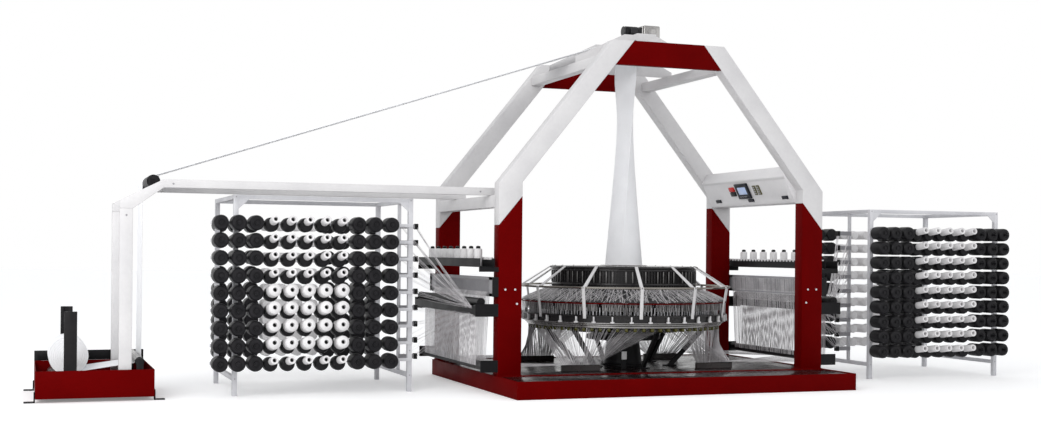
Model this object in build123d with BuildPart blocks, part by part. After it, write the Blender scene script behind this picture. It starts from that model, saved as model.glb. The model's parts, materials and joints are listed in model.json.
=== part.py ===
from build123d import *
import math
import os

os.makedirs("parts", exist_ok=True)

# Circular loom for woven tube: portal frame, loom head, two creels, take-up arm and winder
# Millimetres. X runs along the machine, Y runs away from its front, Z is up, origin on the floor.

# Portal frame
frame_half_length = 1800.0
frame_half_depth = 1070.0
column_width = 240.0
column_depth = 150.0
column_outer_height = 1620.0
column_inner_height = 1905.0
knee_height = 2030.0
frame_height = 3480.0
leg_top_outer = 620.0
leg_width = 232.0
beam_depth = 245.0
beam_thickness = 60.0
tie_height = 100.0
tie_width = 110.0

# Plinth and deck
plinth_height = 170.0
plinth_margin = 20.0
step_reach = 610.0
rim_width = 14.0
sill_width = 30.0
recess_depth = 20.0
deck_thickness = 12.0
deck_clearance = 0.3

# Loom head
pedestal_radius = 210.0
pedestal_neck = 168.0
pedestal_post = 105.0
pedestal_height = 430.0
strut_count = 6
strut_width = 60.0
strut_thickness = 30.0
strut_foot_radius = 470.0
strut_head_radius = 860.0
housing_inner = 780.0
housing_outer = 1100.0
housing_bottom = 600.0
housing_top = 735.0
housing_lip_radius = 1040.0
housing_lip_height = 650.0
window_count = 36
head_sides = 36
window_height = 55.0
window_bottom = 662.0
post_width = 22.0
post_proud = 18.0
heald_count = 12
heald_width = 220.0
heald_thickness = 14.0
heald_height = 70.0
heald_radius = 1045.0
heald_guide_depth = 30.0
heald_guide_height = 125.0
heald_travel = 28.0
heald_clearance = 12.0
drum_radius = 775.0
drum_wall = 22.0
drum_bottom = 735.0
drum_top = 1200.0
reed_count = 36
reed_width = 20.0
reed_proud = 12.0
cover_thickness = 25.0
cover_radius = 795.0
cover_bore = 262.0
guard_radius = 1130.0
guard_section = 22.0
guard_height = 1000.0
bracket_count = 12
bracket_width = 34.0
bracket_thickness = 12.0
bracket_foot_height = 700.0

# Rotor and shuttles
rotor_height = 960.0
rotor_thickness = 30.0
rotor_hub_radius = 120.0
rotor_arm_width = 70.0
rotor_arm_reach = 690.0
shuttle_count = 6
shuttle_length = 300.0
shuttle_width = 50.0
shuttle_height = 60.0
shuttle_nose = 70.0

# Woven tube and flat web
tube_radius = 200.0
tube_thick_top = 46.0
web_half_width = 280.0
web_thickness = 3.0
tube_bottom = 1170.0
tube_rise = 15.0
tube_sides = 24
ring_proud = 12.0

# Take-up unit over the frame
takeup_radius = 58.0
takeup_rise = 110.0
takeup_nip = 8.0
takeup_plate_gap = 740.0
takeup_plate_thickness = 16.0
takeup_rim = 10.0
cheek_foot = 60.0
cheek_crown = 187.5
stub_radius = 15.0
roller_sides = 24
core_sides = 12
bore_clearance = 0.05
end_clearance = 6.0
motor_radius = 58.0
motor_length = 210.0
gearbox_size = 190.0
gearbox_height = 133.0
gearbox_x = 240.0
motor_y = -60.0
bridge_thickness = 20.0
bridge_width = 220.0
bridge_x = 70.0

# Winder arm
arm_y = -200.0
arm_half_gap = 560.0
arm_rail_width = 70.0
arm_rail_height = 75.0
arm_top = 1990.0
arm_end_x = -1690.0
arm_bend_x = -4900.0
post_x = -5225.0
post_size = 112.0
arm_drop = 195.0
arm_roller_x = -4990.0
arm_roller_drop = 20.0
arm_roller_radius = 60.0

# Winder
winder_left = -5980.0
winder_right = -4970.0
winder_half_depth = 620.0
winder_foot = 35.0
winder_top = 280.0
winder_wall = 8.0
guide_x = -5690.0
guide_width = 110.0
guide_depth = 40.0
guide_top = 800.0
guide_slot = 44.0
roll_radius = 175.0
roll_height = 372.0
core_radius = 21.0
drive_radius = 55.0
drive_spread = 125.0
front_roller_radius = 42.0
front_roller_height = 345.0
front_inset = 40.0
roller_side_gap = 20.0
stub_length = 20.0
front_block = 60.0
front_block_thickness = 30.0

# Creels
creel_length = 1720.0
creel_half_depth = 660.0
creel_height = 1870.0
creel_post = 45.0
creel_rail = 40.0
creel_foot_rail = 160.0
stile_y = -230.0
stile_size = 30.0
creel_centres = (-3400.0, 3530.0)
creel_first_columns = (-995.0, -800.0)
row_count = 9
row_pitch = 162.0
row_lowest = 312.0
column_count = 11
column_pitch = 160.0
rail_thickness = 10.0
rail_height = 30.0
package_radius = 74.0
package_length = 200.0
tube_pack_radius = 37.0
full_pack_radius = 62.0
white_length = 270.0
white_first = 3
white_last = 8
full_rows = (1, 2, 3, 4)

# Side feed units between the creels and the frame
feed_reach = 230.0
feed_half_depth = 900.0
feed_plate = 14.0
feed_plate_margin = 25.0
shelf_height = 1215.0
shelf_depth = 85.0
shelf_width = 150.0
shelf_wall = 5.0
spool_count = 8
spool_radius = 40.0
spool_height = 115.0
comb_height = 930.0
comb_depth = 190.0
comb_thickness = 12.0
comb_slots = 14
comb_slot_depth = 114.0
comb_stand = 30.0
bar_height = 760.0
bar_depth = 80.0
bar_width = 110.0
feed_roller_inset = 10.0
feed_roller_radius = 40.0
low_roller_radius = 45.0
low_roller_height = 262.0

# Warp tapes
tape_width = 9.0
tape_thickness = 2.0
tape_slack = 60.0
creel_tapes = 7
tape_lowest = 440.0
tape_spread = 1210.0
meet_y = -1035.0
meet_spread = 165.0
curtain_slots = 10
curtain_hem = 12.0
skirt_clearance = 1.2
skirt_drop = 138.0
skirt_wall = 8.0
fan_tapes = 5
fan_radius = 1000.0
fan_spread = 380.0
fan_bar_height = 60.0
fan_bar_length = 420.0
fan_bar_width = 40.0
fan_bar_x = 760.0
fan_bar_y = 640.0

# Control box at the right knee; places on its face run towards the front and up the slope
box_low = 1912.0
box_top = 2300.0
face_run = 137.0
face_rise = 278.0
crown_run = 65.0
screen_place = (-35.0, 180.0)
screen_frame_size = (270.0, 180.0)
screen_size = (180.0, 88.0)
screen_frame_thickness = 22.0
screen_recess = 6.0
screen_sunk = 1.0
screen_rise = 6.0
strip_places = ((220.0, 178.0), (305.0, 178.0))
strip_size = (58.0, 112.0)
strip_thickness = 10.0
stop_place = (-280.0, 206.0)
start_place = (-280.0, 150.0)
button_size = (110.0, 50.0)
button_proud = 14.0
button_travel = 6.0
button_well = 14.0
button_clearance = 0.3
rocker_end_clearance = 1.0
button_floor_gap = 1.0
left_rocker_place = (-690.0, 72.0)
right_rocker_place = (770.0, 68.0)
screen_rocker_place = (50.0, 60.0)
rocker_size = (110.0, 36.0)
rocker_proud = 12.0
rocker_waist = 5.0
rocker_taper = 6.0
rocker_root = 8.0

touch_gap = 0.3
takeup_height = frame_height + takeup_rise
arm_roller_height = arm_top - arm_roller_drop


def save(piece, name):
    """Label one finished sub-part and write it under its name."""
    piece.part.label = name
    export_step(piece.part, f"parts/{name}.step")


# Plinth: one red tray whose rim, sill and column pads stand above the dark deck
plinth_x = frame_half_length + plinth_margin
plinth_back = frame_half_depth + plinth_margin
plinth_front = -frame_half_depth - step_reach
column_x = frame_half_length - column_width / 2
column_y = frame_half_depth - column_depth / 2
sill_y = -frame_half_depth
deck_floor = plinth_height - recess_depth
deck_top = deck_floor + deck_thickness

main_recess_low = sill_y + sill_width / 2
main_recess_high = plinth_back - rim_width
step_recess_low = plinth_front + rim_width
step_recess_high = sill_y - sill_width / 2
recess_half = plinth_x - rim_width


def recess_sketch(shrink):
    """The two deck fields inside the rim, less the four column pads."""
    with BuildSketch(Plane.XY) as fields:
        for low, high in ((main_recess_low, main_recess_high), (step_recess_low, step_recess_high)):
            with Locations((0, (low + high) / 2)):
                Rectangle(2 * (recess_half - shrink), high - low - 2 * shrink)
        with GridLocations(2 * column_x, 2 * column_y, 2, 2):
            Rectangle(column_width + 2 * plinth_margin + 2 * shrink,
                      column_depth + 2 * plinth_margin + 2 * shrink, mode=Mode.SUBTRACT)
    return fields.sketch


with BuildPart() as base_plinth:
    with BuildSketch(Plane.XY):
        with Locations((0, (plinth_front + plinth_back) / 2)):
            Rectangle(2 * plinth_x, plinth_back - plinth_front)
    extrude(amount=plinth_height)
    with BuildSketch(Plane.XY.offset(deck_floor)):
        add(recess_sketch(0))
    extrude(amount=recess_depth, mode=Mode.SUBTRACT)
save(base_plinth, "base_plinth")

with BuildPart() as deck_plate:
    with BuildSketch(Plane.XY.offset(deck_floor)):
        add(recess_sketch(deck_clearance))
    extrude(amount=deck_thickness)
    with BuildSketch(Plane.XY.offset(deck_top)):
        with GridLocations(2 * fan_bar_x, 2 * fan_bar_y, 2, 2):
            Rectangle(fan_bar_length, fan_bar_width)
    extrude(amount=fan_bar_height)
save(deck_plate, "deck_plate")

# Columns and knee legs are flat-sided boxes drawn in elevation
leg_bottom_inner = frame_half_length - column_width
leg_rise = frame_height - knee_height
leg_run = frame_half_length - leg_top_outer
leg_slope = leg_run / leg_rise
knee_inner_height = knee_height + (column_width - leg_width) / leg_slope
beam_low = frame_height - beam_depth
leg_inner_top = leg_top_outer - leg_width
leg_inner_at_beam = leg_inner_top + beam_depth * leg_slope


def elevation_plane(y_face):
    """Upright plane at the given Y, with its X along the machine and its Y up."""
    return Plane(origin=(0, y_face, 0), x_dir=(1, 0, 0), z_dir=(0, -1, 0))


y_faces = (-frame_half_depth + column_depth, frame_half_depth)
with BuildPart() as columns:
    for side in (-1, 1):
        for y_face in y_faces:
            with BuildSketch(elevation_plane(y_face)):
                with BuildLine():
                    Polyline((side * frame_half_length, plinth_height),
                             (side * frame_half_length, column_outer_height),
                             (side * leg_bottom_inner, column_inner_height),
                             (side * leg_bottom_inner, plinth_height), close=True)
                make_face()
            extrude(amount=column_depth)
save(columns, "frame_columns")

with BuildPart() as legs:
    for side in (-1, 1):
        for y_face in y_faces:
            with BuildSketch(elevation_plane(y_face)):
                with BuildLine():
                    Polyline((side * frame_half_length, column_outer_height),
                             (side * frame_half_length, knee_height),
                             (side * leg_top_outer, frame_height),
                             (side * leg_inner_top, frame_height),
                             (side * leg_bottom_inner, knee_inner_height),
                             (side * leg_bottom_inner, column_inner_height), close=True)
                make_face()
            extrude(amount=column_depth)
save(legs, "frame_legs")

# Red top beams fill the front and the back between the legs, cut to their slope
with BuildPart() as beams:
    for end in (-1, 1):
        with BuildSketch(elevation_plane(end * frame_half_depth)):
            with BuildLine():
                Polyline((-leg_inner_top, frame_height), (leg_inner_top, frame_height),
                         (leg_inner_at_beam, beam_low), (-leg_inner_at_beam, beam_low), close=True)
            make_face()
        extrude(amount=end * beam_thickness)
save(beams, "top_beams")

# White ties join the front and back legs, at the top and at the left knee
tie_low = beam_low
tie_top = tie_low + tie_height
tie_outer = leg_top_outer + (frame_height - tie_top) * leg_slope - touch_gap
leg_gap = frame_half_depth - column_depth
knee_beam_size = 120.0
knee_beam_top = arm_top - arm_rail_height
with BuildPart() as ties:
    for side in (-1, 1):
        with Locations((side * (tie_outer - tie_width / 2), 0, (tie_low + tie_top) / 2)):
            Box(tie_width, 2 * leg_gap, tie_height)
    with Locations((-frame_half_length + knee_beam_size / 2, 0, knee_beam_top - knee_beam_size / 2)):
        Box(knee_beam_size, 2 * leg_gap, knee_beam_size)
save(ties, "frame_ties")

# Loom head: pedestal with six struts, and the heald housing they carry
def radial_plane(angle):
    """Upright plane through the loom's axis, its X outwards at the given angle and its Y up."""
    turn = math.radians(angle)
    return Plane(origin=(0, 0, 0), x_dir=(math.cos(turn), math.sin(turn), 0),
                 z_dir=(math.sin(turn), -math.cos(turn), 0))


with BuildPart() as head_stand:
    with BuildSketch(Plane.XY.offset(deck_top)):
        RegularPolygon(pedestal_radius, 12)
    with BuildSketch(Plane.XY.offset(pedestal_height)):
        RegularPolygon(pedestal_neck, 12)
    loft()
    with BuildSketch(Plane.XY.offset(pedestal_height + touch_gap)):
        RegularPolygon(pedestal_post, 12)
    extrude(amount=rotor_height - pedestal_height - 2 * touch_gap)
    for index in range(strut_count):
        with BuildSketch(radial_plane(360.0 * (index + 0.5) / strut_count).offset(-strut_thickness / 2)):
            with BuildLine():
                Polyline((strut_foot_radius, deck_top), (strut_foot_radius + strut_width, deck_top),
                         (strut_head_radius + strut_width, housing_bottom),
                         (strut_head_radius, housing_bottom), close=True)
            make_face()
        extrude(amount=strut_thickness)
save(head_stand, "head_stand")

# Guides stand on the housing between an even and an odd heald plate, with a running gap to both
guide_turn = math.radians(90.0 / heald_count)
guide_half = ((heald_radius - heald_thickness / 2) * math.sin(guide_turn)
              - heald_width / 2 * math.cos(guide_turn) - touch_gap)
with BuildPart() as housing:
    with BuildSketch(Plane.XY.offset(housing_bottom)):
        RegularPolygon(housing_lip_radius, head_sides)
    with BuildSketch(Plane.XY.offset(housing_lip_height)):
        RegularPolygon(housing_outer, head_sides)
    loft()
    with BuildSketch(Plane.XY.offset(housing_lip_height)):
        RegularPolygon(housing_outer, head_sides)
    extrude(amount=housing_top - housing_lip_height)
    with BuildSketch(Plane.XY.offset(housing_bottom)):
        RegularPolygon(housing_inner, head_sides)
    extrude(amount=housing_top - housing_bottom, mode=Mode.SUBTRACT)
    with BuildSketch(Plane.XY.offset(housing_top)):
        with PolarLocations(heald_radius, heald_count, start_angle=90.0 / heald_count):
            Rectangle(heald_guide_depth, 2 * guide_half)
    extrude(amount=heald_guide_height)
save(housing, "heald_housing")

with BuildPart() as posts:
    with PolarLocations(housing_outer + post_proud / 2 + touch_gap, window_count):
        with Locations((0, 0, window_bottom + window_height / 2)):
            Box(post_proud, post_width, window_height)
save(posts, "window_posts")

# Heald plates stand on edge round the housing, in two sets that trade heights
heald_low = housing_top + heald_travel + heald_clearance
for set_name, shift in (("even", 0.0), ("odd", 0.5)):
    with BuildPart() as healds:
        with PolarLocations(heald_radius, heald_count, start_angle=360.0 * shift / heald_count):
            with Locations((0, 0, heald_low + heald_height / 2)):
                Box(heald_thickness, heald_width, heald_height)
    save(healds, f"healds_{set_name}")

# Reed drum: a wall with upright reed ridges all round, under a dark annular cover
with BuildPart() as reed_drum:
    with BuildSketch(Plane.XY.offset(drum_bottom)):
        RegularPolygon(drum_radius - reed_proud, head_sides)
        with PolarLocations(drum_radius - reed_proud, reed_count):
            Rectangle(2 * reed_proud, reed_width)
        RegularPolygon(drum_radius - drum_wall - reed_proud, head_sides, mode=Mode.SUBTRACT)
    extrude(amount=drum_top - drum_bottom)
save(reed_drum, "reed_drum")

with BuildPart() as drum_cover:
    with BuildSketch(Plane.XY.offset(drum_top)):
        RegularPolygon(cover_radius, head_sides)
        RegularPolygon(cover_bore, head_sides, mode=Mode.SUBTRACT)
    extrude(amount=cover_thickness)
save(drum_cover, "drum_cover")
cover_top = drum_top + cover_thickness

# Guard ring on twelve bent brackets, each a sloping arm from the cover and a leg to the housing
guard_in = guard_radius - guard_section / 2
guard_out = guard_radius + guard_section / 2
guard_top = guard_height + guard_section
with BuildPart() as guard_ring:
    with BuildSketch(Plane.XY.offset(guard_height)):
        RegularPolygon(guard_out, head_sides)
        RegularPolygon(guard_in, head_sides, mode=Mode.SUBTRACT)
    extrude(amount=guard_section)
save(guard_ring, "guard_ring")

bracket_seat = math.cos(math.pi / head_sides)
arm_foot = cover_radius * bracket_seat + touch_gap
arm_head = guard_in * bracket_seat - touch_gap
leg_head = guard_out * bracket_seat + touch_gap
leg_foot = housing_outer * bracket_seat + touch_gap
with BuildPart() as brackets:
    for index in range(bracket_count):
        with BuildSketch(radial_plane(360.0 * (index + 0.5) / bracket_count).offset(-bracket_width / 2)):
            with BuildLine():
                Polyline((arm_foot, cover_top), (arm_head, guard_top), (arm_head, guard_height),
                         (arm_foot, cover_top - bracket_thickness), close=True)
            make_face()
            with BuildLine():
                Polyline((leg_head, guard_top), (leg_head + bracket_thickness, guard_top),
                         (leg_head + bracket_thickness, guard_height),
                         (leg_foot + bracket_thickness, housing_top),
                         (leg_foot + bracket_thickness, bracket_foot_height),
                         (leg_foot, bracket_foot_height), (leg_foot, housing_top),
                         (leg_head, guard_height), close=True)
            make_face()
        extrude(amount=bracket_width)
save(brackets, "guard_brackets")

# Rotor: hub and six arms that push the shuttles round inside the reed
with BuildPart() as rotor:
    with BuildSketch(Plane.XY.offset(rotor_height)):
        RegularPolygon(rotor_hub_radius, 12)
        with PolarLocations(rotor_arm_reach / 2, shuttle_count):
            Rectangle(rotor_arm_reach, rotor_arm_width)
    extrude(amount=rotor_thickness)
save(rotor, "shuttle_rotor")

shuttle_half = shuttle_length / 2
with BuildPart() as shuttles:
    with BuildSketch(Plane.XY.offset(rotor_height + rotor_thickness)):
        with PolarLocations(rotor_arm_reach - shuttle_width / 2, shuttle_count):
            Polygon((-shuttle_width / 2, shuttle_half - shuttle_nose), (0, shuttle_half),
                    (shuttle_width / 2, shuttle_half - shuttle_nose),
                    (shuttle_width / 2, shuttle_nose - shuttle_half), (0, -shuttle_half),
                    (-shuttle_width / 2, shuttle_nose - shuttle_half), align=None)
    extrude(amount=shuttle_height)
save(shuttles, "shuttles")

# Woven tube: round at the weaving ring and drawn flat at the take-up nip
tube_round_top = cover_top + ring_proud + tube_rise
tube_flat = frame_height - beam_depth


def tube_outline(height, end_radius, half_width):
    """Corners of the tube at a height: a ring whose halves are drawn apart across the machine."""
    turns = [2 * math.pi * (side + 0.5) / tube_sides for side in range(tube_sides)]
    spread = half_width - end_radius
    return [(end_radius * math.cos(turn), end_radius * math.sin(turn) + math.copysign(spread, math.sin(turn)),
             height) for turn in turns]


def faceted(outlines, ring=False):
    """A solid whose flat faces join each outline to the next; a ring joins the last to the first."""
    faces = [] if ring else [Face(Wire.make_polygon(outlines[0])), Face(Wire.make_polygon(outlines[-1]))]
    for lower, upper in zip(outlines, outlines[1:] + (outlines[:1] if ring else [])):
        for here in range(len(lower)):
            there = (here + 1) % len(lower)
            faces.append(Face(Wire.make_polygon([lower[here], lower[there], upper[there], upper[here]])))
    return Solid(Shell(faces))


with BuildPart() as fabric_tube:
    add(faceted([tube_outline(tube_bottom, tube_radius, tube_radius),
                 tube_outline(tube_round_top, tube_radius, tube_radius),
                 tube_outline(tube_flat, tube_thick_top / 2, web_half_width),
                 tube_outline(takeup_height - touch_gap, web_thickness / 2, web_half_width)]))
save(fabric_tube, "fabric_tube")

with BuildPart() as weaving_ring:
    with BuildSketch(Plane.XY.offset(drum_top)):
        RegularPolygon(cover_bore - touch_gap, head_sides)
        RegularPolygon(tube_radius + touch_gap, head_sides, major_radius=False, mode=Mode.SUBTRACT)
    extrude(amount=cover_thickness + ring_proud)
save(weaving_ring, "weaving_ring")

# Take-up unit: two cheek plates on the ties carry the nip rollers
plate_half_gap = takeup_plate_gap / 2
plate_high = takeup_height + takeup_radius + takeup_rim
roller_offset = takeup_radius + takeup_nip / 2
bridge_mid_z = plate_high + bridge_thickness / 2
with BuildPart() as takeup_cheeks:
    for y_face in (-plate_half_gap, plate_half_gap + takeup_plate_thickness):
        with BuildSketch(elevation_plane(y_face)):
            with BuildLine():
                Polyline((-tie_outer, tie_top), (tie_outer, tie_top), (tie_outer, tie_top + cheek_foot),
                         (cheek_crown, plate_high), (-cheek_crown, plate_high),
                         (-tie_outer, tie_top + cheek_foot), close=True)
            make_face()
            with Locations((-roller_offset, takeup_height), (roller_offset, takeup_height)):
                Circle(stub_radius + bore_clearance, mode=Mode.SUBTRACT)
        extrude(amount=takeup_plate_thickness)
    with Locations((bridge_x, 0, bridge_mid_z)):
        Box(bridge_width, takeup_plate_gap + 2 * takeup_plate_thickness, bridge_thickness)
    with Locations((gearbox_x, motor_y, bridge_mid_z)):
        Box(gearbox_size, gearbox_size, bridge_thickness)
save(takeup_cheeks, "takeup_cheeks")


def roller(name, x, z, radius, y_low, y_high, stub_reach, fine_stub=True):
    """A roller with a stub shaft at each end; the bored ones have finer stubs on a faceted drum."""
    with BuildPart() as turned:
        with BuildSketch(elevation_plane(y_high)):
            with Locations((x, z)):
                if fine_stub:
                    RegularPolygon(radius, roller_sides)
                else:
                    Circle(radius)
        extrude(amount=y_high - y_low)
        with BuildSketch(elevation_plane(y_high + stub_reach)):
            with Locations((x, z)):
                RegularPolygon(stub_radius, core_sides if fine_stub else 6)
        extrude(amount=y_high - y_low + 2 * stub_reach)
    save(turned, name)


takeup_half = plate_half_gap - end_clearance
takeup_stub = end_clearance + takeup_plate_thickness
for roller_name, way in (("takeup_roller", -1), ("takeup_press_roller", 1)):
    roller(roller_name, way * roller_offset, takeup_height, takeup_radius, -takeup_half, takeup_half,
           takeup_stub)

# Gearbox and motor on the bridge over the cheek plates
gearbox_z = plate_high + bridge_thickness + gearbox_height / 2
with BuildPart() as gearmotor:
    with Locations((gearbox_x, motor_y, gearbox_z)):
        Box(gearbox_size, gearbox_size, gearbox_height)
    with BuildSketch(Plane.YZ.offset(gearbox_x - gearbox_size / 2)):
        with Locations((motor_y, gearbox_z)):
            RegularPolygon(motor_radius, roller_sides)
    extrude(amount=-motor_length)
save(gearmotor, "takeup_gearmotor")

# Winder arm: two rails with a dropped end, each on its own post
rail_low = arm_top - arm_rail_height
arm_foot_top = arm_top - arm_drop
post_top = arm_foot_top - arm_rail_height
tray_floor = winder_foot + winder_wall
with BuildPart() as arm_rails:
    for end in (-1, 1):
        with BuildSketch(elevation_plane(arm_y + end * arm_half_gap + arm_rail_width / 2)):
            with BuildLine():
                Polyline((arm_end_x, arm_top), (arm_bend_x, arm_top),
                         (post_x - post_size / 2, arm_foot_top), (post_x - post_size / 2, post_top),
                         (post_x + post_size / 2, post_top), (arm_bend_x, rail_low),
                         (arm_end_x, rail_low), close=True)
            make_face()
        extrude(amount=arm_rail_width)
save(arm_rails, "arm_rails")

with BuildPart() as arm_posts:
    with Locations((post_x, arm_y, (tray_floor + post_top) / 2)):
        with GridLocations(1, 2 * arm_half_gap, 1, 2):
            Box(post_size, arm_rail_width, post_top - tray_floor)
save(arm_posts, "arm_posts")

arm_block_size = 90.0
arm_block_thickness = 30.0
oblique_slope = arm_drop / (arm_bend_x - post_x + post_size / 2)
block_foot_left = arm_top - (arm_bend_x - arm_roller_x + arm_block_size / 2) * oblique_slope
block_foot_right = arm_top - (arm_bend_x - arm_roller_x - arm_block_size / 2) * oblique_slope
block_top = arm_roller_height + arm_block_size / 2
with BuildPart() as arm_blocks:
    for end in (-1, 1):
        with BuildSketch(elevation_plane(arm_y + end * arm_half_gap + arm_block_thickness / 2)):
            with BuildLine():
                Polyline((arm_roller_x - arm_block_size / 2, block_foot_left),
                         (arm_roller_x + arm_block_size / 2, block_foot_right),
                         (arm_roller_x + arm_block_size / 2, block_top),
                         (arm_roller_x - arm_block_size / 2, block_top), close=True)
            make_face()
            with Locations((arm_roller_x, arm_roller_height)):
                Circle(stub_radius + bore_clearance, mode=Mode.SUBTRACT)
        extrude(amount=arm_block_thickness)
arm_reach = arm_half_gap - arm_rail_width / 2 - end_clearance
roller("arm_roller", arm_roller_x, arm_roller_height, arm_roller_radius, arm_y - arm_reach,
       arm_y + arm_reach, arm_half_gap + arm_block_thickness / 2 - arm_reach)

# Flat web: over the take-up roller, over the arm roller, down to the winder and onto its drive roller
def skin_point(centre, radius, angle):
    """The point of a round skin that lies in the given direction from its centre."""
    return (centre[0] + radius * math.cos(angle), centre[1] + radius * math.sin(angle))


def tangent_angle(start, stop, radii_sum):
    """Direction of the line that leaves one circle and reaches the next, by their signed radii."""
    run = math.hypot(stop[0] - start[0], stop[1] - start[1])
    straight = math.atan2(stop[1] - start[1], stop[0] - start[0])
    return straight + math.asin(radii_sum / run)


takeup_centre = (-roller_offset, takeup_height)
arm_centre = (arm_roller_x, arm_roller_height)
takeup_wrap = takeup_radius + touch_gap
arm_wrap = arm_roller_radius + touch_gap
front_wrap = front_roller_radius + touch_gap + web_thickness
drive_wrap = drive_radius + touch_gap
web_fall_x = arm_roller_x - arm_wrap
front_roller_x = web_fall_x - front_wrap
front_centre = (front_roller_x, front_roller_height)
drive_drop = math.sqrt((roll_radius + drive_radius + touch_gap) ** 2 - drive_spread ** 2)
drive_centre = (guide_x + drive_spread, roll_height - drive_drop)
quarter = math.pi / 2
upper_way = tangent_angle(takeup_centre, arm_centre, takeup_wrap - arm_wrap)
lower_way = tangent_angle(front_centre, drive_centre, -(front_wrap + drive_wrap))
upper_skin = upper_way - quarter
lower_skin = lower_way + quarter
with BuildPart() as fabric_web:
    with BuildSketch(elevation_plane(web_half_width)):
        with BuildLine() as web_line:
            ThreePointArc(skin_point(takeup_centre, takeup_wrap, 0),
                          skin_point(takeup_centre, takeup_wrap, (upper_skin + 2 * math.pi) / 2),
                          skin_point(takeup_centre, takeup_wrap, upper_skin))
            Line(skin_point(takeup_centre, takeup_wrap, upper_skin), skin_point(arm_centre, arm_wrap, upper_skin))
            ThreePointArc(skin_point(arm_centre, arm_wrap, upper_skin),
                          skin_point(arm_centre, arm_wrap, (upper_skin % (2 * math.pi) + math.pi) / 2),
                          skin_point(arm_centre, arm_wrap, math.pi))
            Line(skin_point(arm_centre, arm_wrap, math.pi), skin_point(front_centre, front_wrap, 0))
            ThreePointArc(skin_point(front_centre, front_wrap, 0),
                          skin_point(front_centre, front_wrap, (lower_skin % (2 * math.pi) - 2 * math.pi) / 2),
                          skin_point(front_centre, front_wrap, lower_skin))
            Line(skin_point(front_centre, front_wrap, lower_skin),
                 skin_point(drive_centre, drive_wrap, lower_skin + math.pi))
            offset(web_line.line, amount=web_thickness, side=Side.RIGHT, closed=True)
        make_face()
    extrude(amount=2 * web_half_width)
save(fabric_web, "fabric_web")

# Winder base: an open red tray on four floor feet
winder_low = arm_y - winder_half_depth
winder_high = arm_y + winder_half_depth
winder_mid_x = (winder_left + winder_right) / 2
with BuildPart() as winder_base:
    with Locations((winder_mid_x, arm_y, (winder_foot + winder_top) / 2)):
        Box(winder_right - winder_left, 2 * winder_half_depth, winder_top - winder_foot)
    opened = winder_base.faces().sort_by(Axis.Z)[-1]
    offset(amount=-winder_wall, openings=opened)
save(winder_base, "winder_base")

foot_length = 95.0
foot_width = 60.0
foot_thickness = 12.0
foot_upright = 60.0
back_rail_top = 375.0
back_rail_thickness = 20.0
back_rail_leg = 60.0
with BuildPart() as winder_feet:
    for x_edge, way in ((winder_left, -1), (winder_right, 1)):
        foot_x = x_edge + way * foot_thickness
        toe_x = x_edge + way * foot_length
        for y_mid in (winder_low + foot_width, winder_high - foot_width):
            with BuildSketch(elevation_plane(y_mid + foot_width / 2)):
                with BuildLine():
                    Polyline((x_edge, winder_foot + foot_upright), (foot_x, winder_foot + foot_upright),
                             (foot_x, foot_thickness), (toe_x, foot_thickness), (toe_x, 0),
                             (x_edge, 0), close=True)
                make_face()
            extrude(amount=foot_width)
    with BuildSketch(elevation_plane(winder_high + back_rail_thickness)):
        with Locations((winder_mid_x, (winder_top + back_rail_top) / 2)):
            Rectangle(winder_right - winder_left, back_rail_top - winder_top)
        with Locations((winder_left + back_rail_leg / 2, (winder_foot + winder_top) / 2)):
            Rectangle(back_rail_leg, winder_top - winder_foot)
    extrude(amount=back_rail_thickness)
save(winder_feet, "winder_feet")

# Upright channels that guide the bearing blocks of the winding shaft
guide_inner = winder_half_depth - winder_wall
slot_floor = guide_inner - guide_depth / 2
with BuildPart() as winder_guides:
    for end in (-1, 1):
        with BuildSketch(Plane.XY.offset(tray_floor)):
            with Locations((guide_x, arm_y + end * (guide_inner - guide_depth / 2))):
                Rectangle(guide_width, guide_depth)
            with Locations((guide_x, arm_y + end * (guide_inner - guide_depth))):
                Rectangle(guide_slot, guide_depth, mode=Mode.SUBTRACT)
        extrude(amount=guide_top - tray_floor)
save(winder_guides, "winder_guides")

block_height = 90.0
block_gap = 0.3
block_thickness = guide_depth / 2 - 2 * block_gap
journal_radius = 15.0
with BuildPart() as bearing_blocks:
    for y_face in (arm_y - slot_floor + block_gap + block_thickness, arm_y + slot_floor - block_gap):
        with BuildSketch(elevation_plane(y_face)):
            with Locations((guide_x, roll_height)):
                Rectangle(guide_slot - 2 * block_gap, block_height)
                Circle(journal_radius + bore_clearance, mode=Mode.SUBTRACT)
        extrude(amount=block_thickness)
save(bearing_blocks, "bearing_blocks")

# Winding shaft with the fabric roll, resting on the two drive rollers
shaft_reach = guide_inner - guide_depth - end_clearance
journal_reach = slot_floor - 2 * block_gap
with BuildPart() as winding_shaft:
    with BuildSketch(elevation_plane(arm_y + shaft_reach)):
        with Locations((guide_x, roll_height)):
            RegularPolygon(core_radius, core_sides)
    extrude(amount=2 * shaft_reach)
    with BuildSketch(elevation_plane(arm_y + journal_reach)):
        with Locations((guide_x, roll_height)):
            Circle(journal_radius)
    extrude(amount=2 * journal_reach)
save(winding_shaft, "winding_shaft")

with BuildPart() as fabric_roll:
    with BuildSketch(elevation_plane(web_half_width)):
        with Locations((guide_x, roll_height)):
            RegularPolygon(roll_radius, head_sides)
            RegularPolygon(core_radius, core_sides, mode=Mode.SUBTRACT)
    extrude(amount=2 * web_half_width)
save(fabric_roll, "fabric_roll")

inner_half = winder_half_depth - winder_wall - touch_gap - stub_length
for side_name, way in (("left", -1), ("right", 1)):
    roller(f"drive_roller_{side_name}", guide_x + way * drive_spread, roll_height - drive_drop, drive_radius,
           arm_y - inner_half, arm_y + inner_half, stub_length, fine_stub=False)
front_half = inner_half - front_inset
roller("front_roller", front_roller_x, front_roller_height, front_roller_radius,
       arm_y - front_half, arm_y + front_half, stub_length, fine_stub=False)

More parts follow.
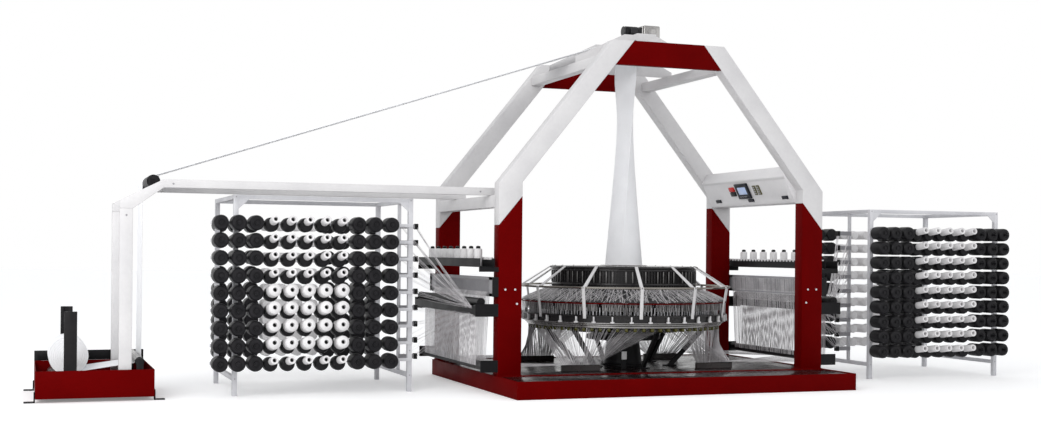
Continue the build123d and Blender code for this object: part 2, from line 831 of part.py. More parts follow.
bearing_reach = front_half + stub_length + touch_gap + front_block_thickness / 2
bearing_top = front_roller_height + front_block / 2
with BuildPart() as roller_bearings:
    add(arm_blocks.part)
    with Locations((front_roller_x, arm_y, (tray_floor + bearing_top) / 2)):
        with GridLocations(1, 2 * bearing_reach, 1, 2):
            Box(front_block, front_block_thickness, bearing_top - tray_floor)
save(roller_bearings, "roller_bearings")

# Creels: an open frame with nine rails of bobbins along its front and a row of them behind
creel_post_x = (creel_length - creel_post) / 2
creel_post_y = creel_half_depth - creel_post / 2
creel_beam_z = creel_height - creel_rail / 2
stile_low = creel_foot_rail + creel_rail / 2
stile_high = creel_height - creel_rail
face_y = creel_half_depth + rail_thickness
row_heights = [row_lowest + row_pitch * row for row in range(row_count)]
front_columns = []
for creel_name, side, centre, first in zip(("left", "right"), (-1, 1), creel_centres, creel_first_columns):
    column_places = [centre + first + column_pitch * column for column in range(column_count)]
    front_columns.append(column_places)
    rail_start = min(centre - creel_length / 2, column_places[0] - package_radius)
    rail_stop = max(centre + creel_length / 2, column_places[-1] + package_radius)
    with BuildPart() as creel_frame:
        with Locations((centre, 0, creel_height / 2)):
            with GridLocations(2 * creel_post_x, 2 * creel_post_y, 2, 2):
                Box(creel_post, creel_post, creel_height)
        with Locations((centre, 0, creel_beam_z)):
            with GridLocations(1, 2 * creel_post_y, 1, 2):
                Box(creel_length - 2 * creel_post, creel_rail, creel_rail)
        for level in (creel_beam_z, creel_foot_rail):
            with Locations((centre, 0, level)):
                with GridLocations(2 * creel_post_x, 1, 2, 1):
                    Box(creel_rail, 2 * (creel_half_depth - creel_post), creel_rail)
        with Locations((centre - side * creel_post_x, stile_y, (stile_low + stile_high) / 2)):
            Box(stile_size, stile_size, stile_high - stile_low)
        for height in row_heights:
            with Locations(((rail_start + rail_stop) / 2, -creel_half_depth - rail_thickness / 2, height)):
                Box(rail_stop - rail_start, rail_thickness, rail_height)
    save(creel_frame, f"creel_frame_{creel_name}")

with BuildPart() as dark_packs:
    for centre, column_places in zip(creel_centres, front_columns):
        with BuildSketch(elevation_plane(-face_y)):
            outer_columns = column_places[:white_first] + column_places[white_last:]
            with Locations(*[(x, z) for x in outer_columns for z in row_heights]):
                RegularPolygon(package_radius, 6)
        extrude(amount=package_length)
        with BuildSketch(elevation_plane(creel_half_depth)):
            with Locations(*[(centre, z) for z in row_heights]):
                Rectangle(creel_length, 2 * package_radius)
        extrude(amount=-package_length)
save(dark_packs, "dark_packages")

with BuildPart() as white_packs:
    for column_places in front_columns:
        with BuildSketch(elevation_plane(-face_y)):
            for row, height in enumerate(row_heights):
                full = row in full_rows and column_places is front_columns[0]
                with Locations(*[(x, height) for x in column_places[white_first:white_last]]):
                    RegularPolygon(full_pack_radius if full else tube_pack_radius, 6)
        extrude(amount=white_length)
save(white_packs, "white_packages")

# Side feed units: end plates on the columns, spool shelf, bar, comb and rollers
plate_low = low_roller_height - low_roller_radius - feed_plate_margin
plate_y = frame_half_depth - feed_plate / 2
span = 2 * (plate_y - feed_plate / 2)
roller_half = span / 2 - end_clearance
feed_stub = end_clearance - touch_gap
bar_top = bar_height + bar_depth
outer_reach = frame_half_length + feed_reach
mid_reach = frame_half_length + feed_reach / 2
bar_reach = outer_reach - bar_width / 2
feed_roller_height = bar_top + feed_roller_radius + touch_gap
for unit_name, side in (("left", -1), ("right", 1)):
    with BuildPart() as feed_frame:
        with Locations((side * mid_reach, 0, (plate_low + shelf_height) / 2)):
            with GridLocations(1, 2 * plate_y, 1, 2):
                Box(feed_reach, feed_plate, shelf_height - plate_low)
        with BuildSketch(elevation_plane(frame_half_depth)):
            with Locations((side * mid_reach, shelf_height + shelf_depth / 2)):
                Rectangle(shelf_width, shelf_depth)
            with Locations((side * mid_reach, shelf_height + shelf_depth / 2 + shelf_wall)):
                Rectangle(shelf_width - 2 * shelf_wall, shelf_depth, mode=Mode.SUBTRACT)
        extrude(amount=2 * frame_half_depth)
        with Locations((side * bar_reach, 0, bar_height + bar_depth / 2)):
            Box(bar_width, span, bar_depth)
    save(feed_frame, f"feed_frame_{unit_name}")
    roller(f"feed_roller_{unit_name}", side * (bar_reach - feed_roller_inset), feed_roller_height,
           feed_roller_radius, -roller_half, roller_half, feed_stub, fine_stub=False)
    roller(f"low_roller_{unit_name}", side * mid_reach, low_roller_height, low_roller_radius,
           -roller_half, roller_half, feed_stub, fine_stub=False)

spool_pitch = 2 * feed_half_depth / spool_count
with BuildPart() as spools:
    with BuildSketch(Plane.XY.offset(shelf_height + shelf_wall)):
        with GridLocations(2 * mid_reach, spool_pitch, 2, spool_count):
            RegularPolygon(spool_radius, 6)
    extrude(amount=spool_height + shelf_depth)
save(spools, "weft_spools")

comb_reach = frame_half_length + comb_stand + comb_thickness / 2
slot_pitch = 2 * feed_half_depth / comb_slots
with BuildPart() as combs:
    for side in (-1, 1):
        with BuildSketch(Plane.YZ.offset(side * comb_reach - comb_thickness / 2)):
            with Locations((0, comb_height + comb_depth / 2)):
                Rectangle(span, comb_depth)
                with GridLocations(slot_pitch, 1, comb_slots, 1):
                    Rectangle(slot_pitch / 2, comb_slot_depth, mode=Mode.SUBTRACT)
        extrude(amount=comb_thickness)
save(combs, "tape_combs")


def tape_between(start, stop, slack):
    """A flat tape along a straight run, longer than the run by the slack at both ends."""
    way = Vector(*stop) - Vector(*start)
    unit = way.normalized()
    origin = Vector(*start) - unit * slack
    across = unit.cross(Vector(0, 0, 1)).normalized()
    with BuildSketch(Plane(origin=origin, x_dir=across, z_dir=unit)) as tape_end:
        Rectangle(tape_width, tape_thickness)
    extrude(tape_end.sketch, amount=way.length + 2 * slack)


# Tapes run from the creel's guide stile to the bar, and hang from it as a slit curtain to the low roller
drop_reach = mid_reach + low_roller_radius + touch_gap + tape_thickness / 2
curtain_top = bar_height
curtain_low = low_roller_height
slit_pitch = 2 * feed_half_depth / curtain_slots
with BuildPart() as feed_tapes:
    for side, centre in zip((-1, 1), creel_centres):
        stile_face = centre - side * (creel_post_x + stile_size / 2)
        for index in range(creel_tapes):
            share = index / (creel_tapes - 1)
            tape_between((stile_face, stile_y, tape_lowest + share * tape_spread),
                         (side * outer_reach, meet_y + share * meet_spread, bar_height + bar_depth / 2),
                         tape_slack)
        for trim_x in (stile_face + side * tape_slack, side * (outer_reach - tape_slack)):
            with Locations((trim_x, 0, creel_height / 2)):
                Box(2 * tape_slack, 2 * frame_half_depth, creel_height, mode=Mode.SUBTRACT)
    for side in (-1, 1):
        with BuildSketch(Plane.YZ.offset(side * drop_reach - tape_thickness / 2)):
            with Locations((0, (curtain_top + curtain_low) / 2)):
                Rectangle(2 * feed_half_depth, curtain_top - curtain_low)
                with GridLocations(slit_pitch, 1, curtain_slots, 1):
                    Rectangle(slit_pitch / 2, curtain_top - curtain_low - 2 * curtain_hem,
                              mode=Mode.SUBTRACT)
        extrude(amount=tape_thickness)
save(feed_tapes, "feed_tapes")

# Warp fans from the deck's guide bars up to the heald housing, and the skirt of tapes round the reed
fan_low = deck_top + fan_bar_height


def ring_corners(radius, height):
    """Corners of a level ring with the head's number of sides."""
    turns = [2 * math.pi * side / head_sides for side in range(head_sides)]
    return [(radius * math.cos(turn), radius * math.sin(turn), height) for turn in turns]


with BuildPart() as warp_fans:
    for sx in (-1, 1):
        for sy in (-1, 1):
            for index in range(fan_tapes):
                share = (index + 0.5) / fan_tapes
                start_x = sx * (fan_bar_x + fan_spread * (0.5 - share))
                angle = math.radians(90 * share)
                stop = (sx * fan_radius * math.cos(angle), sy * fan_radius * math.sin(angle), housing_bottom)
                tape_between((start_x, sy * fan_bar_y, fan_low), stop, tape_slack)
    with Locations((0, 0, (fan_low + housing_bottom) / 2)):
        Box(2 * housing_outer, 2 * housing_outer, housing_bottom - fan_low, mode=Mode.INTERSECT)
    skirt_hem = guard_height - skirt_drop
    skirt_head_radius = drum_radius + skirt_clearance
    add(faceted([ring_corners(housing_outer, skirt_hem), ring_corners(skirt_head_radius + skirt_wall, guard_height),
                 ring_corners(skirt_head_radius, guard_height), ring_corners(housing_outer - skirt_wall, skirt_hem)],
                ring=True))
save(warp_fans, "warp_fans")

# Control box between the right knees, its sloping face turned to the loom
face_foot = (leg_bottom_inner + touch_gap, box_low)
face_head = (face_foot[0] - face_run, box_low + face_rise)
box_back_x = frame_half_length - 10
crown_x = box_back_x - (box_top - knee_height) * leg_slope
face_length = math.hypot(face_run, face_rise)
panel = Plane(origin=(face_foot[0], 0, face_foot[1]), x_dir=(0, -1, 0),
              z_dir=(-face_rise / face_length, 0, -face_run / face_length))
rocker_well = (rocker_size[0] + 2 * rocker_end_clearance, rocker_size[1] + 2 * button_clearance)
button_hole = (button_size[0] + 2 * button_clearance, button_size[1] + 2 * button_clearance)
wells = ((stop_place, button_hole), (start_place, button_hole), (left_rocker_place, rocker_well),
         (right_rocker_place, rocker_well), (screen_rocker_place, rocker_well))
with BuildPart() as control_box:
    with BuildSketch(elevation_plane(leg_gap)):
        with BuildLine():
            Polyline(face_foot, face_head, (face_head[0] + crown_run, box_top), (crown_x, box_top),
                     (box_back_x, knee_height), (box_back_x, box_low), close=True)
        make_face()
    extrude(amount=2 * leg_gap)
    with BuildSketch(panel):
        for place, size in wells:
            with Locations(place):
                Rectangle(*size)
    extrude(amount=-button_well, mode=Mode.SUBTRACT)
save(control_box, "control_box")

screen_middle = (screen_place[0], screen_place[1] + screen_rise)
screen_floor = panel.offset(screen_frame_thickness - screen_recess)
with BuildPart() as screen_frame:
    with BuildSketch(panel):
        with Locations(screen_place):
            Rectangle(*screen_frame_size)
    extrude(amount=screen_frame_thickness)
    with BuildSketch(screen_floor):
        with Locations(screen_middle):
            Rectangle(*screen_size)
    extrude(amount=screen_recess, mode=Mode.SUBTRACT)
save(screen_frame, "screen_frame")

with BuildPart() as screen_glass:
    with BuildSketch(screen_floor):
        with Locations(screen_middle):
            Rectangle(screen_size[0] - 2 * touch_gap, screen_size[1] - 2 * touch_gap)
    extrude(amount=screen_recess - screen_sunk)
save(screen_glass, "screen_glass")

with BuildPart() as key_strips:
    with BuildSketch(panel):
        for place in strip_places:
            with Locations(place):
                Rectangle(*strip_size)
    extrude(amount=strip_thickness)
save(key_strips, "key_strips")

button_root = button_well - button_travel - button_floor_gap
for button_name, place in (("stop_button", stop_place), ("start_button", start_place)):
    with BuildPart() as button:
        with BuildSketch(panel.offset(-button_root)):
            with Locations(place):
                Rectangle(*button_size)
        extrude(amount=button_root + button_proud)
    save(button, button_name)

rocker_half = rocker_size[0] / 2
for rocker_name, place in (("left_rocker", left_rocker_place), ("right_rocker", right_rocker_place),
                           ("screen_rocker", screen_rocker_place)):
    with BuildPart() as rocker:
        with BuildSketch(Plane(origin=panel.from_local_coords((place[0], place[1] + rocker_size[1] / 2, 0)),
                               x_dir=panel.x_dir, z_dir=-panel.y_dir)):
            with BuildLine():
                Polyline((-rocker_half, rocker_proud), (0, rocker_waist), (rocker_half, rocker_proud),
                         (rocker_half - rocker_taper, -rocker_root),
                         (rocker_taper - rocker_half, -rocker_root), close=True)
            make_face()
        extrude(amount=rocker_size[1])
    save(rocker, rocker_name)
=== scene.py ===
import json
import logging
import math
import random
from dataclasses import dataclass, field
from enum import Enum

import bpy
import numpy as np
from mathutils import Matrix, Quaternion, Vector

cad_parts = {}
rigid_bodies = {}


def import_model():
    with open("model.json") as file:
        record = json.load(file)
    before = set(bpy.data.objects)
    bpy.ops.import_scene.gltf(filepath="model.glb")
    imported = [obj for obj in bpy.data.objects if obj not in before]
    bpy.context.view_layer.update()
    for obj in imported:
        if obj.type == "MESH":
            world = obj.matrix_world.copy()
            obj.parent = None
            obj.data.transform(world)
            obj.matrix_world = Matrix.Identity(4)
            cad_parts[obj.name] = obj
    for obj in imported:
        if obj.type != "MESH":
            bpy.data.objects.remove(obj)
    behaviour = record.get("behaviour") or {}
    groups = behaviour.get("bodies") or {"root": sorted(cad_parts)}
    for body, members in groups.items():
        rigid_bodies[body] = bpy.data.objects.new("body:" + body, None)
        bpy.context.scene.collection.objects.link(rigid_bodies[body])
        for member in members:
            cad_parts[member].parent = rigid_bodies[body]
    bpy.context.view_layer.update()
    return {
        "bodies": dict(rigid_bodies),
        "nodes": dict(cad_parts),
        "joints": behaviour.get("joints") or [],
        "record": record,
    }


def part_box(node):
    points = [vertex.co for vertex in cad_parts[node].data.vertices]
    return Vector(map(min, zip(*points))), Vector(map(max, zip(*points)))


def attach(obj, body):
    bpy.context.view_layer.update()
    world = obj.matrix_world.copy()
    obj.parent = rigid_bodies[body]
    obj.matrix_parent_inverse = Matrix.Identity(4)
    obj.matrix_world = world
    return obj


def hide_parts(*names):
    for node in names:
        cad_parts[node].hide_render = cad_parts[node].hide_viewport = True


log = logging.getLogger("circular_loom")
Piece = bpy.types.Object
Tree = bpy.types.NodeTree
Node = bpy.types.Node
Point = tuple[float, float, float]
Colour = tuple[float, float, float]
Profile = list[tuple[float, float]]
Run = tuple[Vector, Vector, float]

BUMP_DEPTH = 0.001
EDGE_DEGREES = 28.0
SMOOTH_DEGREES = 32.0
FLAT_DEGREES = 0.6
MERGE_DISTANCE = 0.00002
SAME_RADIUS = 1e-7


class Grain(Enum):
    """What the fine surface of a finish is like."""

    PAINT = "paint"
    BRUSHED = "brushed"
    WEAVE = "weave"
    MOULDED = "moulded"
    WOUND = "wound"


@dataclass(frozen=True)
class Finish:
    """One finish: its two colours, its gloss and its fine grain."""

    slot: str
    colour: Colour
    second: Colour
    grain: Grain = Grain.PAINT
    metallic: float = 0.0
    roughness: tuple[float, float] = (0.35, 0.5)
    grain_scale: float = 60.0
    mottle_scale: float = 3.0
    bump: float = 0.08
    specular: float = 0.5


FINISHES: tuple[Finish, ...] = (
    Finish("maroon_paint", (0.122, 0.0005, 0.0007), (0.1, 0.0004, 0.0006), roughness=(0.4, 0.55), bump=0.05,
           specular=0.015),
    Finish("pale_paint", (0.67, 0.66, 0.66), (0.60, 0.59, 0.595), roughness=(0.4, 0.52), bump=0.05,
           specular=0.3),
    Finish("black_paint", (0.006, 0.006, 0.007), (0.014, 0.013, 0.014), roughness=(0.35, 0.5), specular=0.12),
    Finish("dark_deck", (0.008, 0.006, 0.006), (0.02, 0.012, 0.012), roughness=(0.16, 0.34), mottle_scale=6.0,
           bump=0.03, specular=0.22),
    Finish("creel_aluminium", (0.68, 0.68, 0.70), (0.56, 0.56, 0.59), Grain.BRUSHED, 0.2, (0.35, 0.5)),
    Finish("bright_steel", (0.36, 0.35, 0.345), (0.2, 0.195, 0.19), Grain.BRUSHED, 1.0, (0.18, 0.34)),
    Finish("guard_chrome", (0.34, 0.32, 0.29), (0.2, 0.185, 0.165), Grain.BRUSHED, 1.0, (0.12, 0.26)),
    Finish("reed_dark", (0.009, 0.008, 0.009), (0.022, 0.02, 0.02), roughness=(0.16, 0.34), specular=0.3),
    Finish("heald_plate", (0.2, 0.195, 0.19), (0.09, 0.085, 0.085), Grain.BRUSHED, 0.5, (0.3, 0.5)),
    Finish("woven_fabric", (0.94, 0.945, 0.96), (0.88, 0.885, 0.90), Grain.WEAVE, 0.0, (0.45, 0.62), 260.0,
           4.0,
           0.12, specular=0.35),
    Finish("white_tape", (0.78, 0.76, 0.77), (0.46, 0.44, 0.455), Grain.MOULDED, 0.0, (0.3, 0.5), 120.0, 9.0,
           specular=0.4),
    Finish("black_bobbin", (0.005, 0.005, 0.006), (0.016, 0.015, 0.017), Grain.WOUND, 0.0, (0.3, 0.5), 420.0,
           14.0,
           0.3, specular=0.16),
    Finish("white_bobbin", (0.82, 0.81, 0.81), (0.66, 0.645, 0.65), Grain.WOUND, 0.0, (0.4, 0.6), 420.0, 10.0,
           0.25, specular=0.3),
    Finish("grey_paint", (0.27, 0.265, 0.28), (0.36, 0.355, 0.37), roughness=(0.35, 0.5), specular=0.3),
    Finish("box_grey", (0.70, 0.69, 0.695), (0.76, 0.75, 0.755), roughness=(0.36, 0.48), bump=0.04,
           specular=0.3),
    Finish("screen_black", (0.006, 0.007, 0.014), (0.014, 0.014, 0.022), Grain.MOULDED, 0.0, (0.3, 0.45),
           300.0,
           specular=0.2),
    Finish("screen_blue", (0.42, 0.56, 0.86), (0.55, 0.66, 0.92), Grain.MOULDED, 0.0, (0.05, 0.12), 40.0, 8.0,
           0.0),
    Finish("key_olive", (0.055, 0.058, 0.012), (0.1, 0.09, 0.02), Grain.MOULDED, 0.0, (0.2, 0.35), 200.0,
           specular=0.3),
    Finish("button_red", (0.6, 0.018, 0.012), (0.48, 0.012, 0.01), Grain.MOULDED, 0.0, (0.2, 0.35), 200.0,
           specular=0.2),
    Finish("button_black", (0.006, 0.006, 0.007), (0.014, 0.014, 0.014), Grain.MOULDED, 0.0, (0.25, 0.4),
           200.0,
           specular=0.16),
    Finish("motor_dark", (0.014, 0.014, 0.016), (0.035, 0.034, 0.035), roughness=(0.3, 0.5), specular=0.25),
)


def add_node(tree: Tree, kind: str, values: dict | None = None, **settings: object) -> Node:
    """Add a shader node.

    Args:
        tree: the tree that it goes into.
        kind: its type, without the prefix that all shader nodes share.
        values: what its input sockets are set to, by name or number.
        settings: its own settings, such as the operation of a Math node.

    Returns:
        The new node.
    """
    made = tree.nodes.new(f"ShaderNode{kind}")
    for name, setting in settings.items():
        setattr(made, name, setting)
    for socket, value in (values or {}).items():
        made.inputs[socket].default_value = value
    return made


def wire(tree: Tree, *links: tuple[Node, str | int, Node, str | int]) -> None:
    """Link nodes.

    Args:
        tree: the tree that they are in.
        links: for each link a node and its output, and the next node and its input.
    """
    for source, out, goal, into in links:
        tree.links.new(source.outputs[out], goal.inputs[into])


@dataclass
class Paintshop:
    """Makes one procedural material for each finish, from shared node groups."""

    made: dict[str, bpy.types.Material] = field(default_factory=dict)
    groups: dict[str, Tree] = field(default_factory=dict)

    def group(self, name: str, inputs: dict[str, str], outputs: dict[str, str]) -> tuple[Tree, Node, Node]:
        """Start a node group.

        Args:
            name: the group's name.
            inputs: socket names and their socket types.
            outputs: socket names and their socket types.

        Returns:
            The new group, its input node and its output node.
        """
        tree = bpy.data.node_groups.new(name, "ShaderNodeTree")
        for way, sockets in (("INPUT", inputs), ("OUTPUT", outputs)):
            for label, kind in sockets.items():
                tree.interface.new_socket(label, in_out=way, socket_type=f"NodeSocket{kind}")
        self.groups[name] = tree
        return tree, tree.nodes.new("NodeGroupInput"), tree.nodes.new("NodeGroupOutput")

    def height_group(self, grain: Grain) -> tuple[Tree, Node, Node]:
        """Start the node group of a grain, which gives a height for bumps."""
        return self.group(grain.value, {"Vector": "Vector", "Scale": "Float"}, {"Height": "Float"})

    def build_groups(self) -> None:
        """Build the mottle that every finish has, and one group for each grain."""
        self.build_mottle()
        self.build_noise(Grain.PAINT, 1.0, 4.0)
        self.build_noise(Grain.MOULDED, 1.0, 4.0)
        self.build_noise(Grain.BRUSHED, 34.0, 2.0)
        self.build_bands(Grain.WEAVE, "ZY", 0.2)
        self.build_bands(Grain.WOUND, "Y", 1.6)

    def build_mottle(self) -> None:
        """Slow drift between two colours and two roughnesses, with finer spots in it."""
        tree, enter, leave = self.group(
            "mottle", {"Vector": "Vector", "Scale": "Float", "Colour": "Color", "Second": "Color",
                       "Smooth": "Float", "Rough": "Float"}, {"Colour": "Color", "Roughness": "Float"})
        broad = add_node(tree, "TexNoise", {"Detail": 5.0})
        fine = add_node(tree, "TexNoise", {"Detail": 3.0})
        finer = add_node(tree, "Math", {1: 11.0}, operation="MULTIPLY")
        blend = add_node(tree, "Math", {1: 0.35}, operation="MULTIPLY_ADD")
        spread = add_node(tree, "MapRange", {"From Min": 0.45, "From Max": 0.9})
        mix = add_node(tree, "Mix", data_type="RGBA")
        gloss = add_node(tree, "MapRange")
        wire(tree, (enter, "Vector", broad, "Vector"), (enter, "Vector", fine, "Vector"),
             (enter, "Scale", broad, "Scale"), (enter, "Scale", finer, 0), (finer, 0, fine, "Scale"),
             (fine, "Fac", blend, 0), (broad, "Fac", blend, 2), (blend, 0, spread, "Value"),
             (spread, "Result", mix, "Factor"), (enter, "Colour", mix, "A"), (enter, "Second", mix, "B"),
             (spread, "Result", gloss, "Value"), (enter, "Smooth", gloss, "To Min"),
             (enter, "Rough", gloss, "To Max"), (mix, "Result", leave, "Colour"),
             (gloss, "Result", leave, "Roughness"))

    def build_noise(self, grain: Grain, stretch: float, detail: float) -> None:
        """Fine noise, drawn out into lines for brushed metal.

        Args:
            grain: the grain that it is for.
            stretch: how much finer the noise is along Z.
            detail: the noise's detail.
        """
        tree, enter, leave = self.height_group(grain)
        turn = add_node(tree, "Mapping", {"Scale": (1.0, 1.0, stretch)})
        noise = add_node(tree, "TexNoise", {"Detail": detail})
        wire(tree, (enter, "Vector", turn, "Vector"), (turn, "Vector", noise, "Vector"),
             (enter, "Scale", noise, "Scale"), (noise, "Fac", leave, "Height"))

    def build_bands(self, grain: Grain, ways: str, distortion: float) -> None:
        """Bands along one axis, as turns of wound tape, or along two, as tapes woven over and under.

        Args:
            grain: the grain that they are for.
            ways: the axes, one letter each.
            distortion: how uneven the bands are.
        """
        tree, enter, leave = self.height_group(grain)
        both = add_node(tree, "Math", {1: 1.0}, operation="MULTIPLY")
        for index, way in enumerate(ways):
            wave = add_node(tree, "TexWave", {"Distortion": distortion}, wave_type="BANDS",
                            bands_direction=way)
            wire(tree, (enter, "Vector", wave, "Vector"), (enter, "Scale", wave, "Scale"),
                 (wave, "Fac", both, index))
        wire(tree, (both, 0, leave, "Height"))

    def material(self, finish: Finish) -> None:
        """Make the material of one finish.

        Args:
            finish: the finish's colours, gloss and grain.
        """
        made = bpy.data.materials.new(finish.slot)
        made.use_nodes = True
        tree = made.node_tree
        shader = tree.nodes["Principled BSDF"]
        shader.inputs["Metallic"].default_value = finish.metallic
        shader.inputs["Specular IOR Level"].default_value = finish.specular
        smooth, rough = finish.roughness
        place = add_node(tree, "TexCoord")
        mottle = add_node(tree, "Group", {"Scale": finish.mottle_scale, "Colour": (*finish.colour, 1.0),
                                          "Second": (*finish.second, 1.0), "Smooth": smooth, "Rough": rough},
                          node_tree=self.groups["mottle"])
        grain = add_node(tree, "Group", {"Scale": finish.grain_scale},
                         node_tree=self.groups[finish.grain.value])
        bump = add_node(tree, "Bump", {"Strength": finish.bump, "Distance": BUMP_DEPTH})
        wire(tree, (place, "Object", mottle, "Vector"), (place, "Object", grain, "Vector"),
             (mottle, "Colour", shader, "Base Color"), (mottle, "Roughness", shader, "Roughness"),
             (grain, "Height", bump, "Height"), (bump, "Normal", shader, "Normal"))
        self.made[finish.slot] = made

    def dress(self, piece: Piece, slot: str) -> None:
        """Give a piece the material of a slot, and no other."""
        piece.data.materials.clear()
        piece.data.materials.append(self.made[slot])


class Bench:
    """Hand tools: each one adds, shapes or copies meshes with Blender's own operators."""

    paint: Paintshop

    @staticmethod
    def clear() -> None:
        """Leave edit mode and deselect everything."""
        if bpy.context.object and bpy.context.object.mode != "OBJECT":
            bpy.ops.object.mode_set(mode="OBJECT")
        bpy.ops.object.select_all(action="DESELECT")

    @staticmethod
    def pick(piece: Piece) -> None:
        """Make a piece the only selected and the active one.

        Args:
            piece: the piece to pick.
        """
        Bench.clear()
        piece.select_set(True)
        bpy.context.view_layer.objects.active = piece

    @staticmethod
    def open(piece: Piece) -> None:
        """Pick a piece and open its mesh, all of it selected.

        Args:
            piece: the piece to open.
        """
        Bench.pick(piece)
        bpy.ops.object.mode_set(mode="EDIT")
        bpy.ops.mesh.select_all(action="SELECT")

    @staticmethod
    def face_outwards(piece: Piece) -> Piece:
        """Turn every face of a piece outwards.

        Args:
            piece: the piece to turn.

        Returns:
            The same piece.
        """
        Bench.open(piece)
        bpy.ops.mesh.normals_make_consistent(inside=False)
        bpy.ops.object.mode_set(mode="OBJECT")
        return piece

    @staticmethod
    def add_mesh(name: str, mesh: bpy.types.Mesh) -> Piece:
        """Put a mesh on the bench as a new piece.

        Args:
            name: the piece's name.
            mesh: its mesh.

        Returns:
            The new piece.
        """
        piece = bpy.data.objects.new(name, mesh)
        bpy.context.scene.collection.objects.link(piece)
        return piece

    @staticmethod
    def add_points(name: str, points: list, faces: list) -> Piece:
        """Put points and the faces between them on the bench as a new piece.

        Args:
            name: the piece's name.
            points: its points.
            faces: the numbers of the points round each face.

        Returns:
            The new piece.
        """
        mesh = bpy.data.meshes.new(name)
        mesh.from_pydata(points, [], faces)
        return Bench.add_mesh(name, mesh)

    @staticmethod
    def smooth(piece: Piece, degrees: float = SMOOTH_DEGREES) -> Piece:
        """Shade a piece smooth, but for its sharper edges.

        Args:
            piece: the piece to shade.
            degrees: the angle over which an edge is sharp.

        Returns:
            The same piece.
        """
        Bench.pick(piece)
        bpy.ops.object.shade_smooth_by_angle(angle=math.radians(degrees))
        return piece

    @staticmethod
    def thicken(piece: Piece, thickness: float, offset: float) -> None:
        """Give a sheet its thickness.

        Args:
            piece: the sheet.
            thickness: how thick it gets, in metres.
            offset: -1 for a wall inside the sheet, 0 for one on both sides.
        """
        Bench.pick(piece)
        wall = piece.modifiers.new("wall", "SOLIDIFY")
        wall.thickness = thickness
        wall.offset = offset
        bpy.ops.object.modifier_apply(modifier=wall.name)

    @staticmethod
    def bevel(piece: Piece, width: float, segments: int = 2) -> Piece:
        """Round the sharp edges of a piece.

        Args:
            piece: the piece to shape.
            width: the bevel's width in metres.
            segments: how many faces go round each edge.

        Returns:
            The same piece.
        """
        Bench.pick(piece)
        rounding = piece.modifiers.new("rounding", "BEVEL")
        rounding.width = width
        rounding.segments = segments
        rounding.limit_method = "ANGLE"
        rounding.angle_limit = math.radians(EDGE_DEGREES)
        bpy.ops.object.modifier_apply(modifier=rounding.name)
        return Bench.smooth(piece)

    @staticmethod
    def block(name: str, low: Point, high: Point, bevel: float = 0.002, segments: int = 1) -> Piece:
        """A box between two corners, with rounded edges.

        Args:
            name: the piece's name.
            low: its lowest corner.
            high: its highest corner.
            bevel: the width of its rounded edges, 0 for none.
            segments: how many faces go round each edge.

        Returns:
            The new piece.
        """
        Bench.clear()
        middle = (Vector(low) + Vector(high)) / 2
        bpy.ops.mesh.primitive_cube_add(size=1.0, location=middle)
        piece = bpy.context.object
        piece.name = name
        piece.scale = Vector(high) - Vector(low)
        bpy.ops.object.transform_apply(location=True, rotation=True, scale=True)
        return Bench.bevel(piece, bevel, segments) if bevel else piece

    @staticmethod
    def lathe(name: str, profile: Profile, sides: int = 32, place: Matrix | None = None,
              ring: bool = False) -> Piece:
        """A turned piece: a circle drawn along Z through each radius of its profile.

        Args:
            name: the piece's name.
            profile: pairs of radius and height, from one end to the other.
            sides: faces round the piece.
            place: where it goes, from its own Z axis.
            ring: True joins the last circle to the first, which leaves the middle open.

        Returns:
            The new piece.
        """
        Bench.clear()
        radius, height = profile[0]
        bpy.ops.mesh.primitive_circle_add(vertices=sides, radius=radius, location=(0, 0, 0),
                                          fill_type="NOTHING" if ring else "NGON")
        piece = bpy.context.object
        piece.name = name
        Bench.open(piece)
        bpy.ops.transform.translate(value=(0, 0, height))
        extrude = bpy.ops.mesh.extrude_edges_move if ring else bpy.ops.mesh.extrude_region_move
        for wide, high in profile[1:]:
            extrude(TRANSFORM_OT_translate={"value": (0, 0, high - height)})
            if abs(wide - radius) > SAME_RADIUS:
                bpy.ops.transform.resize(value=(wide / radius, wide / radius, 1.0),
                                         center_override=(0, 0, high))
            radius, height = wide, high
        if ring:
            bpy.ops.mesh.select_all(action="DESELECT")
            bpy.ops.mesh.select_non_manifold()
            bpy.ops.mesh.bridge_edge_loops()
        Bench.face_outwards(piece)
        if place is not None:
            piece.data.transform(place)
        return Bench.smooth(piece)

    @staticmethod
    def plate(name: str, corners: list[Point], push: Point, bevel: float = 0.0015) -> Piece:
        """A flat outline pushed out to a plate.

        Args:
            name: the piece's name.
            corners: the outline's corners in order.
            push: the way and the depth of the extrusion.
            bevel: the width of its rounded edges, 0 for none.

        Returns:
            The new piece.
        """
        piece = Bench.add_points(name, [tuple(c) for c in corners], [tuple(range(len(corners)))])
        Bench.open(piece)
        bpy.ops.mesh.extrude_region_move(TRANSFORM_OT_translate={"value": tuple(push)})
        Bench.face_outwards(piece)
        return Bench.bevel(piece, bevel, 1) if bevel else piece

    @staticmethod
    def softened(node: str, width: float) -> Piece:
        """A copy of a CAD node with merged corners and rounded edges.

        Args:
            node: the CAD node to copy.
            width: the width of the rounded edges.

        Returns:
            The new piece.
        """
        piece = Bench.add_mesh(f"{node}_formed", bpy.data.objects[node].data.copy())
        Bench.open(piece)
        bpy.ops.mesh.remove_doubles(threshold=MERGE_DISTANCE)
        bpy.ops.mesh.dissolve_limited(angle_limit=math.radians(FLAT_DEGREES))
        bpy.ops.object.mode_set(mode="OBJECT")
        return Bench.bevel(piece, width)

    @staticmethod
    def form(*rows: tuple) -> None:
        """Soften CAD nodes whose shape is right, and mount each copy in its node's place.

        Args:
            rows: for each node its name, its slot, the width of its rounded edges, and its body where
                that isn't the frame.
        """
        for node, slot, width, *body in rows:
            Bench.mount(Bench.softened(node, width), slot, body[0] if body else "frame", node)

